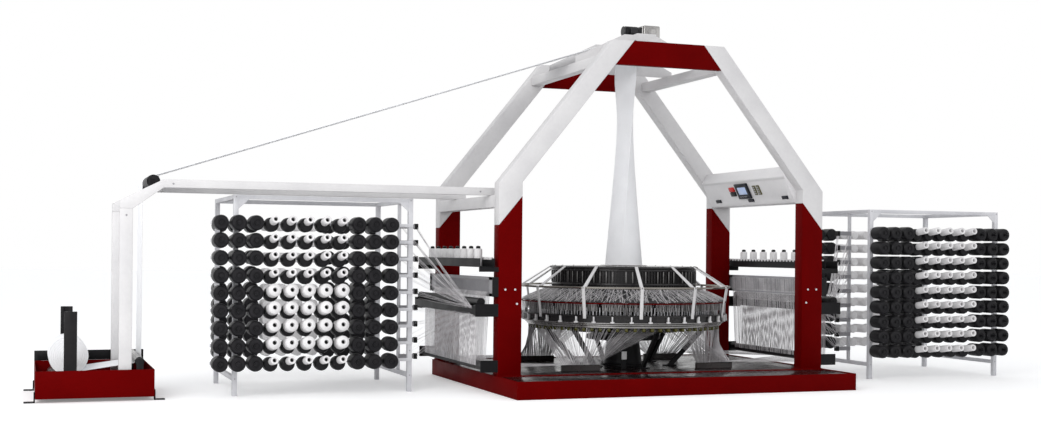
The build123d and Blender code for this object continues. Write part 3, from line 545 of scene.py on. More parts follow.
    @staticmethod
    def repeat(name: str, model: Piece, places: list[Matrix]) -> Piece:
        """Copies of a model at every place, as one piece; the model itself goes.

        Args:
            name: the new piece's name.
            model: the mesh to copy.
            places: where each copy goes.

        Returns:
            The new piece.
        """
        mesh, count = model.data, len(model.data.vertices)
        points = np.array([(*v.co, 1.0) for v in mesh.vertices])
        sharp = mesh.attributes.get("sharp_edge")
        keys = {tuple(sorted(e.vertices)) for e in mesh.edges if sharp and sharp.data[e.index].value}
        piece = Bench.add_points(
            name, np.concatenate([points @ np.array(place).T[:, :3] for place in places]).tolist(),
            [tuple(v + index * count for v in f.vertices) for index in range(len(places))
             for f in mesh.polygons])
        made = piece.data
        made.polygons.foreach_set("use_smooth", [f.use_smooth for f in mesh.polygons] * len(places))
        if keys:
            flags = [tuple(sorted(v % count for v in e.vertices)) in keys for e in made.edges]
            made.attributes.new("sharp_edge", "BOOLEAN", "EDGE").data.foreach_set("value", flags)
        bpy.data.objects.remove(model)
        return piece

    @staticmethod
    def join(name: str, pieces: list[Piece]) -> Piece:
        """Join pieces to one.

        Args:
            name: the joined piece's name.
            pieces: what goes into it.

        Returns:
            The joined piece.
        """
        Bench.pick(pieces[0])
        for piece in pieces:
            piece.select_set(True)
        if len(pieces) > 1:
            bpy.ops.object.join()
        pieces[0].name = name
        return pieces[0]

    @staticmethod
    def mount(piece: Piece, slot: str, body: str = "frame", *nodes: str) -> Piece:
        """Dress a piece in its slot's finish, tie it to its body, and hide the CAD nodes that it stands for.

        Args:
            piece: the piece to mount.
            slot: the slot of its finish.
            body: the body that it rides on.
            nodes: the CAD nodes that it stands for.

        Returns:
            The same piece.
        """
        Bench.paint.dress(piece, slot)
        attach(piece, body)
        if nodes:
            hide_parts(*nodes)
        log.info("piece %s on %s", piece.name, body)
        return piece

    @staticmethod
    def tapes(name: str, runs: list[Run], width: float, steps: int = 1,
              thickness: float = 0.0008) -> Piece:
        """Flat tapes between pairs of points, as one piece.

        Args:
            name: the piece's name.
            runs: for each tape its start, its end and how far its middle hangs down.
            width: the width of a tape.
            steps: the parts of each tape along its length.
            thickness: how thick a tape is.

        Returns:
            The new piece.
        """
        Bench.clear()
        bpy.ops.mesh.primitive_cube_add(size=1.0)
        model = bpy.context.object
        Bench.open(model)
        for cut in range(1, steps):
            bpy.ops.mesh.bisect(plane_co=(cut / steps - 0.5, 0, 0), plane_no=(1, 0, 0))
            bpy.ops.mesh.select_all(action="SELECT")
        bpy.ops.object.mode_set(mode="OBJECT")
        unit = np.array([tuple(v.co) for v in model.data.vertices])
        share = unit[:, :1] + 0.5
        spots = []
        for start, stop, sag in runs:
            way = stop - start
            across = way.cross(Vector((0, 0, 1)))
            if across.length < 0.15 * way.length:
                across = Vector((0, 1, 0))
            across = across.normalized() * width
            up = way.cross(across).normalized() * thickness
            spot = (np.array(start) + share * np.array(way) + unit[:, 1:2] * np.array(across)
                    + unit[:, 2:3] * np.array(up))
            spot[:, 2] -= (4 * sag * share * (1 - share))[:, 0]
            spots.append(spot)
        piece = Bench.add_points(name, np.concatenate(spots).tolist(),
                                 [tuple(v + index * len(unit) for v in f.vertices)
                                  for index in range(len(runs)) for f in model.data.polygons])
        bpy.data.objects.remove(model)
        return piece


def spin(degrees: float, axis: str) -> Matrix:
    """A turn round one axis."""
    return Matrix.Rotation(math.radians(degrees), 4, axis)


def along_y(x: float, y: float, z: float) -> Matrix:
    """A place whose own Z axis points to the front, along -Y."""
    return Matrix.Translation((x, y, z)) @ spin(90, "X")


def round_axis(radius: float, count: int, start: float = 0.0) -> list[Matrix]:
    """Places on a circle round the loom's axis, each with its X pointing outwards."""
    return [spin(start + 360.0 * k / count, "Z") @ Matrix.Translation((radius, 0, 0)) for k in range(count)]


def around(radius: float, turn: float, height: float) -> Vector:
    """The point at a radius and an angle round the loom's axis, at a height."""
    return Vector((radius * math.cos(turn), radius * math.sin(turn), height))


@dataclass
class PortalFrame:
    """Plinth, columns, knee legs, beams and ties."""

    half_length: float = 1.8
    half_depth: float = 1.07
    bolt_heights: tuple[float, ...] = (1.0, 1.0, 0.862)
    bolt_offsets: tuple[float, ...] = (0.07, 0.17, 0.05)
    bolt_radius: float = 0.011

    def build(self) -> None:
        """Round the frame's edges and add its bolts and seams."""
        Bench.form(("frame_columns", "maroon_paint", 0.006), ("frame_legs", "pale_paint", 0.006),
                   ("top_beams", "maroon_paint", 0.004), ("frame_ties", "pale_paint", 0.005),
                   ("base_plinth", "maroon_paint", 0.003), ("deck_plate", "dark_deck", 0.002))
        self.bolts()
        self.sill_edges()
        self.sensor_plate()

    def bolts(self) -> None:
        """Pale bolt heads on the columns' outer faces."""
        places = []
        for side in (-1, 1):
            inner = side * (self.half_length - 0.24)
            for end in (-1, 1):
                for offset, height in zip(self.bolt_offsets, self.bolt_heights):
                    turn = spin(0 if end < 0 else 180, "Z")
                    spot = Matrix.Translation((inner + side * offset, end * self.half_depth, height))
                    places.append(spot @ turn @ spin(90, "X"))
        model = Bench.lathe("bolt", [(self.bolt_radius, -0.001), (self.bolt_radius, 0.003),
                                     (self.bolt_radius * 0.8, 0.006), (self.bolt_radius * 0.35, 0.0065)], 10)
        Bench.mount(Bench.repeat("column_bolts", model, places), "creel_aluminium")

    def sensor_plate(self) -> None:
        """The small pale plate on a dark foot, near the middle of the deck."""
        foot = Bench.block("sensor_foot", (-0.262, -0.565, 0.162), (-0.218, -0.535, 0.262), 0.003)
        Bench.mount(foot, "black_paint")
        plate = Bench.block("sensor_plate", (-0.268, -0.569, 0.262), (-0.212, -0.557, 0.345), 0.003)
        Bench.mount(plate, "pale_paint")

    def sill_edges(self) -> None:
        """Thin weld beads where the columns stand on the plinth."""
        beads = []
        for side in (-1, 1):
            for end in (-1, 1):
                x, y = side * (self.half_length - 0.12), end * (self.half_depth - 0.075)
                beads.append(Bench.block("bead", (x - 0.125, y - 0.08, 0.169), (x + 0.125, y + 0.08, 0.176),
                                         0.003))
        Bench.mount(Bench.join("column_weld_beads", beads), "maroon_paint")


@dataclass
class LoomHead:
    """Pedestal, housing, healds, reed drum, guard ring and rotor."""

    sides: int = 144
    housing_inner: float = 0.78
    heald_radius: float = 1.045
    heald_low: float = 0.775
    heald_height: float = 0.07
    heald_strips: int = 10
    heald_frames: int = 12
    window_count: int = 36
    reed_bars: int = 144

    def build(self) -> None:
        """Build the head from the deck upwards."""
        self.stand()
        self.housing()
        self.healds()
        self.drum()
        self.guard()
        self.rotor()

    def stand(self) -> None:
        """Turned pedestal with flanges, and six struts with foot plates."""
        post = Bench.lathe("pedestal", [(0.235, 0.162), (0.235, 0.178), (0.212, 0.182), (0.205, 0.2),
                                        (0.176, 0.41), (0.186, 0.415), (0.186, 0.432), (0.112, 0.436),
                                        (0.105, 0.45), (0.105, 0.9), (0.125, 0.905), (0.125, 0.93),
                                        (0.1, 0.934), (0.1, 0.959)], 64)
        parts = [post]
        for index in range(6):
            turn = spin(30 + 60 * index, "Z")
            half = 0.018
            strut = Bench.plate("strut", [(0.465, -half, 0.162), (0.535, -half, 0.162), (0.925, -half, 0.6),
                                          (0.855, -half, 0.6)], (0, 2 * half, 0), 0.005)
            foot = Bench.block("foot", (0.43, -0.05, 0.162), (0.58, 0.05, 0.174), 0.003)
            head = Bench.block("head", (0.83, -0.05, 0.588), (0.95, 0.05, 0.6), 0.003)
            for part in (strut, foot, head):
                part.data.transform(turn)
                parts.append(part)
        Bench.mount(Bench.join("head_stand_formed", parts), "black_paint", "frame", "head_stand")
        cam = Bench.lathe("cam_disc", [(0.11, 0.44), (0.38, 0.44), (0.4, 0.448), (0.4, 0.482), (0.385, 0.49),
                                       (0.11, 0.49)], 96, ring=True)
        gear = Bench.lathe("cam_gear", [(0.11, 0.53), (0.6, 0.53), (0.62, 0.54), (0.62, 0.562), (0.6, 0.57),
                                        (0.11, 0.57)], 96, ring=True)
        Bench.mount(Bench.join("cam_discs", [cam, gear]), "black_paint")

    def housing(self) -> None:
        """Stepped steel housing with a dark window band and its pale posts."""
        inner = self.housing_inner
        steel = Bench.lathe("housing_rings", [(inner, 0.602), (1.03, 0.602), (1.042, 0.608), (1.042, 0.622),
                                              (1.052, 0.624), (1.062, 0.632), (1.062, 0.64), (1.08, 0.643),
                                              (1.097, 0.652), (1.097, 0.66), (1.088, 0.6605),
                                              (inner, 0.6605)],
                            self.sides, ring=True)
        cap = Bench.lathe("housing_cap", [(inner, 0.718), (1.085, 0.718), (1.099, 0.7185), (1.099, 0.731),
                                          (1.094, 0.735), (inner, 0.735)], self.sides, ring=True)
        Bench.mount(steel, "bright_steel", "frame", "heald_housing")
        Bench.mount(cap, "reed_dark", "frame", "heald_housing")
        band = Bench.lathe("window_band", [(inner + 0.002, 0.6605), (1.072, 0.6605), (1.072, 0.718),
                                           (inner + 0.002, 0.718)], self.sides, ring=True)
        Bench.mount(band, "reed_dark")
        post = Bench.block("post", (-0.024, -0.007, 0.661), (0.0085, 0.007, 0.722), 0.0025)
        foot = Bench.block("post_foot", (-0.012, -0.02, 0.655), (0.011, 0.02, 0.672), 0.002)
        posts = Bench.join("posts", [post, foot])
        Bench.mount(Bench.repeat("window_posts_formed", posts, round_axis(1.0985, self.window_count)),
                    "pale_paint",
                    "frame", "window_posts")
        key = Bench.block("key", (-0.035, -0.016, 0.568), (0.024, 0.016, 0.603), 0.004)
        Bench.mount(Bench.repeat("cam_follower_keys", key, round_axis(1.0, 72, 2.5)), "key_olive")
        guide = Bench.block("guide", (-0.014, -0.007, 0.735), (0.014, 0.007, 0.86), 0.002)
        Bench.mount(Bench.repeat("heald_guides", guide, round_axis(self.heald_radius, 12, 7.5)),
                    "heald_plate")
        eyes = Bench.block("eye", (-0.004, -0.005, 0.735), (0.004, 0.005, 0.81), 0.001)
        Bench.mount(Bench.repeat("heald_back_strips", eyes, round_axis(1.005, 180)), "creel_aluminium")

    def healds(self) -> None:
        """Two sets of heald frames with upright strips, one riding on each sliding body."""
        low, high = self.heald_low, self.heald_low + self.heald_height
        for name, start, seed in (("even", 0.0, 3), ("odd", 15.0, 4)):
            draw = random.Random(seed)
            parts = [Bench.block("rail", (-0.007, -0.11, low), (0.007, 0.11, low + 0.008), 0.0015),
                     Bench.block("rail", (-0.007, -0.11, high - 0.008), (0.007, 0.11, high), 0.0015)]
            for index in range(self.heald_strips):
                y = -0.102 + 0.204 * index / (self.heald_strips - 1)
                half = 0.0052 + 0.0026 * draw.random()
                parts.append(Bench.block("strip", (-0.005, y - half, low + 0.004),
                                         (0.005, y + half, high - 0.004),
                                         0.0))
            frame = Bench.repeat(f"healds_{name}_formed", Bench.join("frame", parts),
                                 round_axis(self.heald_radius, self.heald_frames, start))
            Bench.mount(frame, "heald_plate", f"heald_set_{name}", f"healds_{name}")

    def drum(self) -> None:
        """Reed drum with upright bars under a glossy cover, and the weaving ring."""
        wall = Bench.lathe("drum_wall", [(0.73, 0.737), (0.752, 0.737), (0.752, 1.2), (0.73, 1.2)],
                           self.sides,
                           ring=True)
        bar = Bench.block("bar", (-0.012, -0.0045, 0.745), (0.0125, 0.0045, 1.196), 0.0015)
        bars = Bench.repeat("bars", bar, round_axis(0.762, self.reed_bars))
        hoops = [Bench.lathe("hoop", [(0.748, z), (0.776, z), (0.778, z + 0.004), (0.778, z + 0.014),
                                      (0.776, z + 0.018), (0.748, z + 0.018)], self.sides, ring=True)
                 for z in (0.742, 1.03, 1.176)]
        Bench.mount(Bench.join("reed_drum_formed", [wall, bars, *hoops]), "reed_dark", "frame", "reed_drum")
        strip = Bench.block("slat", (-0.002, -0.006, 1.055), (0.003, 0.006, 1.172), 0.001)
        spots = [m for k, m in enumerate(round_axis(0.776, 72, 2.5)) if k % 5 != 3]
        Bench.mount(Bench.repeat("drum_slats", strip, spots), "heald_plate")
        cover = Bench.lathe("drum_cover_formed", [(0.263, 1.2), (0.789, 1.2), (0.795, 1.204), (0.795, 1.217),
                                                  (0.786, 1.2235), (0.7, 1.225), (0.69, 1.2245),
                                                  (0.3, 1.2245), (0.263, 1.2235)], self.sides, ring=True)
        Bench.mount(cover, "reed_dark", "frame", "drum_cover")
        ring = Bench.lathe("weaving_ring_formed", [(0.2004, 1.2), (0.2612, 1.2), (0.2612, 1.226),
                                                   (0.254, 1.233), (0.24, 1.237), (0.21, 1.237),
                                                   (0.2004, 1.233)], 96,
                           ring=True)
        Bench.mount(ring, "bright_steel", "frame", "weaving_ring")
        cap = Bench.lathe("cap_bolt", [(0.009, 1.224), (0.009, 1.2265), (0.006, 1.2285)], 8)
        Bench.mount(Bench.repeat("cover_bolts", cap, round_axis(0.765, 24, 7.5)), "bright_steel")

    def guard(self) -> None:
        """Polished guard ring with its bent brackets."""
        ring = Bench.lathe("guard_ring_formed", [(1.1205, 1.001), (1.127, 1.0), (1.137, 1.0), (1.1405, 1.004),
                                                 (1.1405, 1.018), (1.137, 1.022), (1.123, 1.022),
                                                 (1.1205, 1.018)],
                           self.sides, ring=True)
        Bench.mount(ring, "guard_chrome", "frame", "guard_ring")
        Bench.form(("guard_brackets", "pale_paint", 0.003))
        bolt = Bench.lathe("ring_bolt", [(0.008, 0.0), (0.008, 0.004), (0.005, 0.0065)], 8)
        lift = Matrix.Translation((0, 0, 1.011)) @ spin(90, "Y")
        spots = [place @ lift for place in round_axis(1.148, 12, 15.0)]
        Bench.mount(Bench.repeat("bracket_bolts", bolt, spots), "bright_steel")

    def rotor(self) -> None:
        """Rotor with its hub and arms, and the shuttles that it pushes."""
        Bench.form(("shuttle_rotor", "bright_steel", 0.004, "rotor"),
                   ("shuttles", "reed_dark", 0.006, "rotor"))


@dataclass
class WarpTapes:
    """All thin tapes: the skirt round the reed, the fans to the deck, the curtains and the creel runs."""

    seed: int = 11
    skirt_count: int = 560
    crossed_count: int = 240
    fall_count: int = 250
    fan_count: int = 110
    crossing_count: int = 46
    curtain_count: int = 150
    fan_low: float = 0.223
    fan_high: float = 0.604

    def build(self) -> None:
        """Build every bundle of tapes, from one run of random draws."""
        draw = random.Random(self.seed)
        self.skirt(draw)
        self.fans(draw)
        self.curtains(draw)
        self.creel_runs(draw)

    def skirt(self, draw: random.Random) -> None:
        """Tapes from the reed out to the red line, and down past the healds.

        Args:
            draw: where the random numbers come from.
        """
        runs: list[Run] = []
        for index in range(self.skirt_count):
            turn = 2 * math.pi * (index + draw.random()) / self.skirt_count
            lean = turn + math.radians(draw.gauss(0.0, 3.2))
            inner, outer = 0.782 + 0.05 * draw.random() ** 2, 1.1 - 0.03 * draw.random() ** 2
            rise = draw.uniform(-0.006, 0.014)
            start = around(inner, turn, 1.0 - 0.42 * (inner - 0.782) + rise)
            stop = around(outer, lean, 0.862 + 0.42 * (1.1 - outer) + rise)
            runs.append((start, stop, draw.uniform(-0.012, 0.008)))
        Bench.mount(Bench.tapes("skirt_tapes", runs, 0.0042, 3), "white_tape")
        crossed: list[Run] = []
        for _ in range(self.crossed_count):
            turn = math.radians(draw.uniform(0.0, 360.0))
            lean = turn + math.radians(draw.choice((-1, 1)) * draw.uniform(5.0, 11.0))
            near, far = draw.uniform(0.82, 0.94), draw.uniform(1.0, 1.095)
            crossed.append((around(near, turn, 1.008 - 0.434 * (near - 0.782)),
                            around(far, lean, 1.014 - 0.434 * (far - 0.782)), -0.006))
        Bench.mount(Bench.tapes("skirt_crossed_tapes", crossed, 0.003, 2), "white_bobbin")
        # A dark cone just under the skirt tapes: painted shade, the dark of the open shed showing through the
        # gaps between the tapes.
        cone = Bench.lathe("skirt_shade_cone", [(0.7775, 0.992), (0.784, 0.9955), (1.09, 0.8655), (1.09, 0.8615)],
                           144, ring=True)
        Bench.mount(cone, "motor_dark")
        line = Bench.lathe("red_line", [(1.095, 0.849), (1.1, 0.848), (1.103, 0.851), (1.103, 0.855),
                                        (1.1, 0.858), (1.095, 0.857)], 144, ring=True)
        Bench.mount(line, "maroon_paint")
        falls: list[Run] = []
        for index in range(self.fall_count):
            turn = 2 * math.pi * (index + 0.9 * draw.random()) / self.fall_count
            lean = turn + math.radians(draw.uniform(-1.6, 1.6))
            falls.append((around(1.092, turn, 0.852), around(1.086, lean, 0.736), 0.0))
        Bench.mount(Bench.tapes("heald_tapes", falls, 0.0032), "white_tape")

    def fans(self, draw: random.Random) -> None:
        """Fans of tapes from the deck's guide bars up to the housing, some crossing the middle.

        Args:
            draw: where the random numbers come from.
        """
        runs: list[Run] = []
        for side, end in ((-1, -1), (-1, 1), (1, -1), (1, 1)):
            for index in range(self.fan_count):
                share = (index + draw.random()) / self.fan_count
                along = side * (0.76 + 0.4 * (0.5 - share)) + draw.uniform(-0.01, 0.01)
                start = Vector((along, end * (0.64 + draw.uniform(-0.015, 0.015)), self.fan_low))
                turn = math.radians(-4 + 80 * share + draw.uniform(-1.0, 1.0))
                stop = around(0.99 + 0.035 * draw.random(), turn, self.fan_high)
                runs.append((start, stop * Vector((side, end, 1)), 0.0))
            for index in range(self.crossing_count):
                share = (index + draw.random()) / self.crossing_count
                along = side * (0.94 - 0.34 * share)
                start = Vector((along, end * (0.655 - 0.02 * share), self.fan_low))
                turn = math.radians(70 + 22 * share)
                stop = around(0.965 - 0.05 * draw.random(), turn, self.fan_high)
                runs.append((start, stop * Vector((side, end, 1)), 0.0))
        Bench.mount(Bench.tapes("deck_fans", runs, 0.0052), "white_tape", "frame", "warp_fans")

    def curtains(self, draw: random.Random) -> None:
        """Dense curtains from each comb down to its low roller, with the way on to the deck.

        Args:
            draw: where the random numbers come from.
        """
        runs: list[Run] = []
        floor_runs: list[Run] = []
        for side in (-1, 1):
            for index in range(self.curtain_count):
                y = -0.895 + 1.79 * (index + 0.5) / self.curtain_count
                sway = draw.uniform(-0.006, 0.006)
                outer = side * 1.9615
                runs.append((Vector((side * 1.85, y + sway, 0.975)), Vector((outer, y, 0.76)), 0.0))
                runs.append((Vector((outer, y, 0.775)), Vector((outer, y - sway, 0.262)), 0.0))
                if index % 4 != 3 or draw.random() < 0.5:
                    runs.append((Vector((side * 1.8225, y + 0.5 * sway, 1.095)),
                                 Vector((side * 1.867, y - sway, 0.262)), 0.0))
                if index % 2 == 0:
                    share = index / self.curtain_count
                    end = -1 if share < 0.5 else 1
                    goal = Vector((side * (0.95 - 0.5 * abs(share - 0.5)),
                                   end * 0.64 + draw.uniform(-0.01, 0.01), 0.232))
                    floor_runs.append((Vector((side * 1.91, y, 0.225)), goal, 0.01))
        Bench.mount(Bench.tapes("comb_curtains", runs, 0.0055), "white_tape", "frame", "feed_tapes")
        Bench.mount(Bench.tapes("deck_runs", floor_runs, 0.004), "white_tape")

    def creel_runs(self, draw: random.Random) -> None:
        """Tapes from the creels' guides and stiles to the outer edge of each feed bar.

        Args:
            draw: where the random numbers come from.
        """
        runs: list[Run] = []
        for side, inner, stile in ((-1, -2.40, -2.545), (1, 2.53, 2.675)):
            for row in range(9):
                height = 0.312 + 0.162 * row
                upper = row / 8 > 0.4
                for strand in range(9):
                    start = Vector((stile if strand % 3 == 2 else inner, -0.25 + draw.uniform(-0.02, 0.02),
                                    height + draw.uniform(-0.02, 0.02)))
                    goal = -0.97 + draw.random() * (0.2 if upper else 0.75)
                    rise = draw.uniform(-0.02, 0.01)
                    stop = Vector((side * 2.031, goal, (0.835 if upper else 0.765) + rise))
                    runs.append((start, stop, draw.uniform(0.0, 0.025)))
        Bench.mount(Bench.tapes("creel_tapes", runs, 0.0045, 4), "white_tape")


@dataclass
class Creels:
    """Both creels with their rails, bobbins, spindles and guides."""

    centres: tuple[float, float] = (-3.4, 3.53)
    first_columns: tuple[float, float] = (-4.395, 2.73)
    pitch: float = 0.16
    row_low: float = 0.312
    row_pitch: float = 0.162
    rows: int = 9
    face_y: float = -0.67
    tilt_degrees: float = 8.0

    def column_x(self, creel: int, column: int) -> float:
        """The X of one column of bobbins."""
        return self.first_columns[creel] + self.pitch * column

    def build(self) -> None:
        """Build frames, bobbins and guides."""
        Bench.form(*((f"creel_frame_{side}", "creel_aluminium", 0.0025) for side in ("left", "right")))
        self.dark_bobbins()
        self.white_bobbins()
        self.back_rows()
        self.guides()
        self.fittings()

    def spots(self, columns: tuple[int, ...]) -> list[tuple[int, int, float, float]]:
        """Creel, row, X and Z of each bobbin in the given columns."""
        return [(creel, row, self.column_x(creel, column), self.row_low + self.row_pitch * row)
                for creel in (0, 1) for row in range(self.rows) for column in columns]

    def dark_bobbins(self) -> None:
        """Black wound bobbins with end caps and spindles."""
        draw = random.Random(5)
        wound = Bench.lathe("wound", [(0.03, 0.0), (0.062, 0.002), (0.071, 0.012), (0.074, 0.04),
                                      (0.074, 0.16), (0.071, 0.182), (0.06, 0.194), (0.034, 0.197),
                                      (0.03, 0.19), (0.016, 0.189), (0.015, 0.2), (0.004, 0.2)], 22)
        places = [along_y(x, self.face_y, z) @ Matrix.Scale(draw.uniform(0.95, 1.0), 4)
                  for _, _, x, z in self.spots((0, 1, 2, 8, 9, 10))]
        dark = Bench.repeat("dark_bobbins", wound, places)
        behind = Bench.lathe("behind", [(0.02, 0.001), (0.058, 0.002), (0.066, 0.012), (0.068, 0.03),
                                        (0.067, 0.1), (0.06, 0.118), (0.03, 0.122)], 20)
        thin = [along_y(x - 0.012, self.face_y, z - 0.014) for _, _, x, z in self.spots((3, 4, 5, 6, 7))]
        hidden = Bench.repeat("behind_bobbins", behind, thin)
        tip = Bench.lathe("tip", [(0.012, 0.0), (0.012, 0.03), (0.005, 0.045), (0.004, 0.05)], 10)
        tips = [along_y(x, self.face_y - 0.19, z) for creel, _, x, z in self.spots((8, 9, 10)) if creel == 1]
        peg = Bench.repeat("pegs", tip, tips)
        joined = Bench.join("dark_bobbins", [dark, hidden, peg])
        Bench.mount(joined, "black_bobbin", "frame", "dark_packages")

    def white_bobbins(self) -> None:
        """White tubes with an open end, thin or nearly full, tilted up on their spindles."""
        tilt = spin(-self.tilt_degrees, "X")
        slim = Bench.lathe("slim", [(0.03, 0.02), (0.0365, 0.024), (0.037, 0.1), (0.037, 0.262),
                                    (0.0345, 0.268), (0.021, 0.268), (0.0185, 0.262), (0.0185, 0.19),
                                    (0.004, 0.188)], 20)
        stout = Bench.lathe("stout", [(0.045, 0.02), (0.058, 0.026), (0.0615, 0.05), (0.0615, 0.225),
                                      (0.057, 0.245), (0.044, 0.256), (0.034, 0.262), (0.022, 0.263),
                                      (0.0195, 0.256), (0.0195, 0.19), (0.004, 0.188)], 22)
        # Black discs set a little way down each tube's bore: painted shade of the dark open tube ends, not a
        # part of the tubes.
        bore_shade_disc = Bench.lathe("bore_shade_disc", [(0.0183, 0.2), (0.0183, 0.216), (0.006, 0.2165), (0.003, 0.217)], 14)
        thin, full, bore_shade_places = [], [], []
        for creel, row, x, z in self.spots((3, 4, 5, 6, 7)):
            place = Matrix.Translation((x, self.face_y, z)) @ tilt @ spin(90, "X")
            bore_shade_places.append(place)
            (full if creel == 0 and 1 <= row <= 4 else thin).append(place)
        white = Bench.join("white_bobbins", [Bench.repeat("thin", slim, thin),
                                             Bench.repeat("full", stout, full)])
        Bench.mount(white, "white_bobbin", "frame", "white_packages")
        Bench.mount(Bench.repeat("tube_bore_shade", bore_shade_disc, bore_shade_places), "button_black")

    def back_rows(self) -> None:
        """The rows behind: wound bobbins that face away, on the creel's far side."""
        dark = Bench.lathe("far", [(0.03, 0.0), (0.064, 0.003), (0.073, 0.014), (0.073, 0.17), (0.06, 0.19),
                                   (0.02, 0.196)], 16)
        white = Bench.lathe("far_white", [(0.03, 0.0), (0.045, 0.004), (0.05, 0.02), (0.05, 0.24),
                                          (0.034, 0.262), (0.02, 0.264)], 16)
        far, pale = [], []
        for creel, centre in enumerate(self.centres):
            for row in range(self.rows):
                for column in range(11):
                    x = centre - 0.8 + self.pitch * column
                    spot = Matrix.Translation((x, 0.66, self.row_low + self.row_pitch * row))
                    spot = spot @ spin(-90, "X")
                    (pale if column in (3, 4, 5, 6) else far).append(spot)
        Bench.mount(Bench.repeat("far_white_bobbins", white, pale), "white_bobbin")
        Bench.mount(Bench.repeat("far_dark_bobbins", dark, far), "black_bobbin")

    def guides(self) -> None:
        """Guide arms that reach from the creel's stile towards the loom, a black eyelet on each."""
        arms, eyes = [], []
        for side, stile in ((-1, -2.5625), (1, 2.6925)):
            for row in range(self.rows):
                z = self.row_low + self.row_pitch * row
                inner = stile - side * 0.15
                low, high = sorted((stile, inner))
                arms.append(Bench.block("arm", (low, -0.272, z - 0.022), (high, -0.228, z + 0.022), 0.002))
                low, high = sorted((inner, inner - side * 0.035))
                eyes.append(Bench.block("eye", (low, -0.278, z - 0.028), (high, -0.222, z + 0.028), 0.003))
        Bench.mount(Bench.join("guide_arms", arms), "grey_paint")
        Bench.mount(Bench.join("guide_eyelets", eyes), "button_black")

    def fittings(self) -> None:
        """Gussets and screws at the corners."""
        gussets, screws = [], []
        for centre in self.centres:
            for way in (-1, 1):
                x = centre + way * 0.8375
                corner = (x - way * 0.0225, -0.6605, 1.83)
                gussets.append(Bench.plate("gusset", [corner, (x - way * 0.12, -0.6605, 1.83),
                                                      (x - way * 0.0225, -0.6605, 1.74)], (0, 0.006, 0),
                                           0.001))
                for z in (1.85, 1.6, 1.2, 0.8, 0.4, 0.16):
                    screws.append(along_y(x, -0.66, z))
        Bench.mount(Bench.join("creel_gussets", gussets), "creel_aluminium")
        screw = Bench.lathe("screw", [(0.006, -0.001), (0.006, 0.002), (0.003, 0.0035)], 8)
        Bench.mount(Bench.repeat("creel_screws", screw, screws), "grey_paint")


